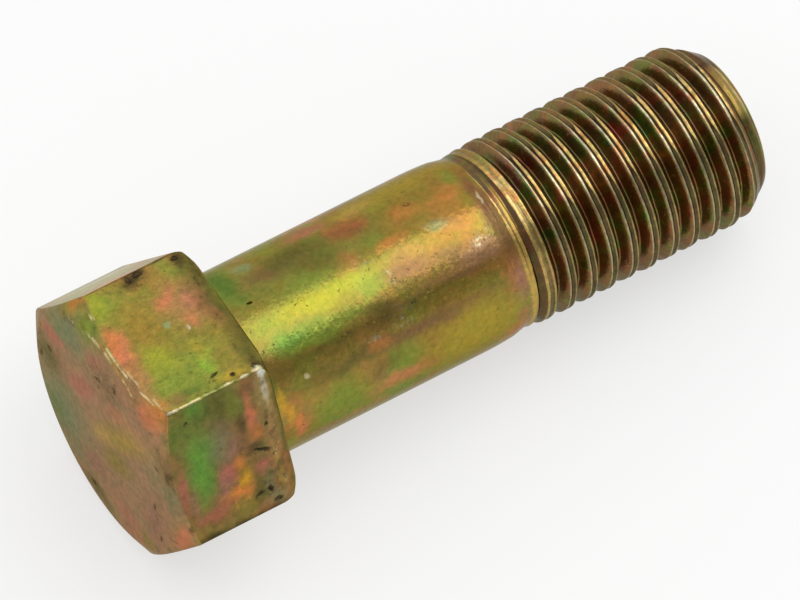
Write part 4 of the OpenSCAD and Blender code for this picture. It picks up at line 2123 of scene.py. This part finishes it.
    def lips(self, graph: Graph, zones: ThreadZones, colour: object) -> object:
        """Colours the lips of the crests: dull all round, with a painted highlight on the side that
        faces the lamp.

        Args:
            graph: The material's tree.
            zones: Where the point lies.
            colour: The film's colour so far.

        Returns:
            The colour.
        """
        dull = graph.mix(zones.tipward, Film.PEWTER.colour, Film.DULL_BRASS.colour)
        dull = graph.mix(self.dull_share, colour, dull)
        # Painted highlight: the lips of the first crest turn ochre all round
        dull = graph.mix(graph.times(zones.first, self.first_highlight), dull, Film.OCHRE.colour)
        # Painted highlight on the lips; its colour and strength vary from place to place
        bright = graph.mix(zones.tipward, Film.PALE_ZINC.colour, Film.LIT_BRASS.colour)
        blush = graph.noise(zones.point, scale=1.1)["Fac"]
        blush = graph.remap(blush, *self.blush_range, 0.0, self.blush_share)
        bright = graph.mix(blush, bright, Film.ORANGE.colour)
        highlight_strength = graph.spread(zones.patchy, *self.highlight_strength_range, smooth=False)
        lips = graph.mix(graph.times(zones.rubbed, highlight_strength), dull, bright)
        return graph.place(
            Mottle(), Below=lips, Point=zones.point, Scale=self.lip_mottle_scale,
            Amount=self.lip_mottle,
        )["Colour"]

    def seam_share(self, graph: Graph, zones: ThreadZones) -> object:
        """Tells how dark the seam is: painted shade in the crease between the lips, narrower where
        the highlight is painted and weaker in the first crest.

        Args:
            graph: The material's tree.
            zones: Where the point lies.

        Returns:
            The share of the seam's colour.
        """
        uneven = graph.noise(zones.point, scale=0.9)["Fac"]
        level = graph.math("ADD", zones.rubbed, uneven)
        share = graph.remap(level, *self.seam_range, self.least_seam, 1.0)
        outer = graph.spread(zones.rubbed, self.dull_lip, self.lip)
        inner = graph.spread(zones.rubbed, self.dull_seam, self.seam)
        share = graph.times(share, graph.remap(zones.aside, outer, inner))
        opened = graph.remap(zones.first, *self.first_range, 1.0, self.first_seam)
        return graph.times(share, opened)

    def ends(self, graph: Graph, zones: ThreadZones, shown: object, colour: object) -> object:
        """Paints a highlight on the front of the collar and painted shade with a highlight on the
        tip's chamfer, whose flat face keeps the film's colour.

        Args:
            graph: The material's tree.
            zones: Where the point lies.
            shown: The thread's colour so far.
            colour: The film's colour alone.

        Returns:
            The finished colour.
        """
        # Painted highlight on the front of the collar
        away = graph.math("ABSOLUTE", graph.math("SUBTRACT", zones.height, self.collar))
        ring = graph.remap(away, self.collar_width, self.collar_core, 0.0, self.collar_highlight)
        front = self.facing(graph, zones.outward, self.collar_side, self.collar_reach)
        shown = graph.mix(graph.times(ring, front), shown, Film.OCHRE.colour)
        # Painted shade on the tip's chamfer, with a painted highlight on the lamp's side
        tip_end = self.tip_start + self.tip_fade
        on_tip = graph.remap(zones.height, self.tip_start, tip_end, 0.0, self.tip_share)
        wear_and_painted_light = graph.mix(zones.rubbed, Film.SOOT.colour, Film.OCHRE.colour)
        shown = graph.mix(on_tip, shown, wear_and_painted_light)
        on_face = graph.remap(zones.height, self.tip_face, self.tip_face + self.face_fade)
        return graph.mix(on_face, shown, colour)

    def dress(self, graph: Graph, point: object, colour: object) -> tuple[object, object]:
        """Colours the thread by its distance from the crest, and by the side it faces, which sets
        the painted highlight and the painted shade.

        Args:
            graph: The material's tree.
            point: The point on the upright bolt.
            colour: The film's colour so far.

        Returns:
            The finished colour, and a roughness.
        """
        zones = self.zones(graph, point)
        # The colour of the painted shade: the film mixed towards umber
        soft = graph.mix(self.soft_share, colour, Film.UMBER.colour)
        flank = self.flanks(graph, zones, colour, soft)
        lips = self.lips(graph, zones, colour)
        crest = graph.mix(self.seam_share(graph, zones), lips, Film.SEAM.colour)
        # Painted shade on the crests of the shaded side
        crest = graph.mix(zones.shaded, crest, soft)
        flare = graph.times(zones.first, self.first_flare)
        inward = graph.math("SUBTRACT", zones.aside, flare)
        on_crest = graph.remap(inward, self.flank, self.flank_edge * self.flank)
        shown = graph.mix(on_crest, flank, crest)
        return self.ends(graph, zones, shown, colour), self.roughness


@dataclass
class Bolt:
    """The whole bolt: head, shank and thread as one piece of plated steel."""

    lie: Lie
    head: Head = field(default_factory=Head)
    shank: Shank = field(default_factory=Shank)
    thread: Thread = field(default_factory=Thread)
    smooth_angle: float = 38.0
    shank_from: float = 0.02
    shank_reach: float = 5.5
    thread_from: float = 15.45
    pit_sizes: tuple[float, float] = (0.86, 1.14)
    pit_depth: float = 0.13
    pit_lift: float = 0.5
    seed: int = 7

    def forge(self) -> bpy.types.Object:
        """Makes the closed body of the bolt, upright.

        Returns:
            The body.
        """
        body = self.head.build()
        LOG.info("head: %d faces", len(body.data.polygons))
        rod = self.shank.build()
        LOG.info("shank: %d faces", len(rod.data.polygons))
        wound = self.thread.build(self.shank)
        LOG.info("thread: %d faces", len(wound.data.polygons))
        rod = Bench.join([rod, wound])
        Bench.select_edges(rod, lambda a, b, angle: angle == OPEN_ANGLE)
        bpy.ops.mesh.bridge_edge_loops()
        bpy.ops.mesh.select_all(action="SELECT")
        bpy.ops.mesh.normals_make_consistent(inside=False)
        Bench.close()
        Bench.combine(body, rod, Operation.ADD)
        self.pit(body, TOP_FLAT_MARKS + FRONT_FLAT_MARKS + END_FACE_MARKS + SHANK_MARKS)
        return body

    def pit(self, body: bpy.types.Object, marks: Sequence[Patch]) -> None:
        """Sinks a real pit under each whole mark of soot.

        Args:
            body: The upright body.
            marks: The marks on its surface.
        """
        balls = []
        dice = random.Random(self.seed)
        radius = self.shank.diameter / 2
        for mark in marks:
            if mark.film is not Film.SOOT or mark.broken:
                continue
            Bench.clear_selection()
            bpy.ops.mesh.primitive_ico_sphere_add(
                subdivisions=2, radius=1.0, location=mark.place(self.head, radius)
            )
            ball = bpy.context.object
            for vertex in ball.data.vertices:
                vertex.co *= dice.uniform(*self.pit_sizes)
                vertex.co.x += self.pit_lift
            reach = mark.reach(radius)
            ball.scale = (self.pit_depth, reach.y, reach.z)
            ball.rotation_euler = mark.facing
            bpy.ops.object.transform_apply(location=True, rotation=True, scale=True)
            balls.append(ball)
        Bench.combine(body, Bench.join(balls), Operation.CUT)
        LOG.info("pits: %d", len(balls))

    def plate(self, body: bpy.types.Object) -> None:
        """Gives each part of the body its finish.

        Args:
            body: The upright body.
        """
        tables = (
            (Side.TOP_FLAT, "plated_top_flat", TOP_FLAT_FILMS, TOP_FLAT_MARKS, FILM_GLANCE),
            (Side.FRONT_FLAT, "plated_front_flat", FRONT_FLAT_FILMS, FRONT_FLAT_MARKS, FILM_GLANCE),
            (Side.END_FACE, "plated_end_face", END_FACE_FILMS, END_FACE_MARKS, FILM_GLANCE),
            (Side.BACK_FLAT, "plated_back_flat", BACK_FLAT_FILMS_AND_SHEEN, (), METAL_GLANCE),
        )
        finishes = [
            HeadFinish(self.lie, self.head),
            ShankFinish(self.lie, self.head),
            ThreadFinish(self.lie, self.head, thread=self.thread),
        ]
        head_slot, shank_slot, thread_slot = range(len(finishes))
        side_slots = {}
        for side, name, films, marks, tint in tables:
            side_slots[side] = len(finishes)
            finishes.append(HeadFinish(
                self.lie, self.head, name=name, films=films, marks=marks, edge_tint=tint
            ))
        body.data.materials.clear()
        for finish in finishes:
            body.data.materials.append(finish.build())
        for face in body.data.polygons:
            centre = face.center
            if centre.z > self.thread_from:
                face.material_index = thread_slot
            elif centre.z > self.shank_from and centre.xy.length < self.shank_reach:
                face.material_index = shank_slot
            else:
                owners = [side for side in side_slots if side.owns(centre, self.head)]
                face.material_index = side_slots[owners[0]] if owners else head_slot

    def build(self) -> bpy.types.Object:
        """Makes the bolt, plates it and lays it down.

        Returns:
            The finished piece.
        """
        body = self.forge()
        self.plate(body)
        body.matrix_world = self.lie.matrix
        Bench.take(body)
        bpy.ops.object.transform_apply(location=True, rotation=True, scale=True)
        bpy.ops.object.shade_smooth_by_angle(angle=math.radians(self.smooth_angle))
        Bench.apply(body, "WEIGHTED_NORMAL", keep_sharp=True)
        body.name = "bolt_surface"
        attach(body, "root")
        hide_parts(NODE)
        LOG.info("%s: %d faces", body.name, len(body.data.polygons))
        return body


@dataclass
class Studio:
    """Pale floor, soft light and the camera."""

    floor_side: float = 4.0
    floor_colour: Colour = grey(0.9)
    floor_roughness: float = 0.8
    floor_glow: float = 0.6
    lamp_place: Vector = field(default_factory=lambda: Vector((0.178, -0.03, 0.41)))
    lamp_size: tuple[float, float] = (0.32, 0.27)
    lamp_power: float = 0.36
    surroundings: tuple[tuple[float, float], ...] = (
        (-180.0, 1.0), (-100.0, 1.0), (-60.0, 0.95), (-30.0, 1.0), (0.0, 1.1), (28.0, 0.95),
        (42.0, 0.5), (62.0, 0.45), (76.0, 0.85), (100.0, 1.0), (180.0, 1.0),
    )
    eye: Vector = field(default_factory=lambda: Vector((-0.118519, -0.171932, 0.375055)))
    target: Vector = field(default_factory=lambda: Vector((0.000173, 0.001674, 0.000828)))
    roll: float = 2.427
    lens: float = 376.54

    def lay_floor(self) -> None:
        """Makes the floor: a wide pale sheet, paler still to the eye than to the light."""
        Bench.clear_selection()
        bpy.ops.mesh.primitive_plane_add(size=self.floor_side)
        floor = bpy.context.object
        floor.name = "floor"
        material = bpy.data.materials.new("pale_floor")
        material.use_nodes = True
        shader = material.node_tree.nodes["Principled BSDF"]
        shader.inputs["Base Color"].default_value = self.floor_colour
        shader.inputs["Roughness"].default_value = self.floor_roughness
        shader.inputs["Specular IOR Level"].default_value = 0.0
        graph = Graph(material.node_tree)
        path = graph.node("LightPath").outputs
        seen = graph.math("MAXIMUM", path["Is Camera Ray"], path["Is Glossy Ray"])
        seen = graph.math("MAXIMUM", seen, path["Is Transmission Ray"])
        shown = graph.node("MixShader")
        graph.feed(shown.inputs[0], graph.times(seen, self.floor_glow))
        graph.feed(shown.inputs[1], shader.outputs[0])
        graph.feed(shown.inputs[2], graph.node("Emission").outputs[0])
        graph.feed(material.node_tree.nodes["Material Output"].inputs["Surface"], shown.outputs[0])
        floor.data.materials.append(material)

    def light(self) -> None:
        """Hangs a wide soft lamp over the bolt, in even surroundings with one darker side."""
        Bench.clear_selection()
        bpy.ops.object.light_add(type="AREA", location=self.lamp_place)
        lamp = bpy.context.object
        lamp.name = "soft_lamp"
        lamp.data.shape = "RECTANGLE"
        lamp.data.size, lamp.data.size_y = self.lamp_size
        lamp.data.energy = self.lamp_power
        lamp.rotation_euler = (-self.lamp_place).to_track_quat("-Z", "Y").to_euler()
        world = bpy.data.worlds.new("studio")
        bpy.context.scene.world = world
        world.use_nodes = True
        graph = Graph(world.node_tree)
        coordinates = graph.node("TexCoord")
        parts = graph.split(coordinates.outputs["Generated"])
        angle = graph.math("ARCTAN2", graph.times(parts["Y"], -1.0), parts["Z"])
        share = graph.remap(angle, -math.pi, math.pi, smooth=False)
        stops = [((degrees + 180.0) / 360.0, grey(level)) for degrees, level in self.surroundings]
        around = graph.ramp(share, stops)
        graph.feed(world.node_tree.nodes["Background"].inputs["Color"], around)

    def aim(self) -> None:
        """Sets the camera where the photograph was taken from."""
        Bench.clear_selection()
        bpy.ops.object.camera_add(location=self.eye)
        camera = bpy.context.object
        camera.name = "camera"
        camera.data.lens = self.lens
        look = (self.target - self.eye).to_track_quat("-Z", "Y").to_matrix()
        lean = Matrix.Rotation(math.radians(self.roll), 3, "Z")
        camera.rotation_euler = (look @ lean).to_euler()
        bpy.context.scene.camera = camera
        bpy.context.scene.view_settings.view_transform = "Standard"

    def build(self) -> None:
        """Makes the floor, the light and the camera."""
        self.lay_floor()
        self.light()
        self.aim()
        LOG.info("studio: floor, lamp, surroundings and camera")


def main() -> None:
    """Builds the bolt, its finish and the studio."""
    logging.basicConfig(level=logging.INFO, format="%(name)s: %(message)s")
    Studio().build()
    head = Head()
    Bolt(Lie.from_frame(frame["record"], head.height), head).build()


if __name__ == "__main__":
    main()
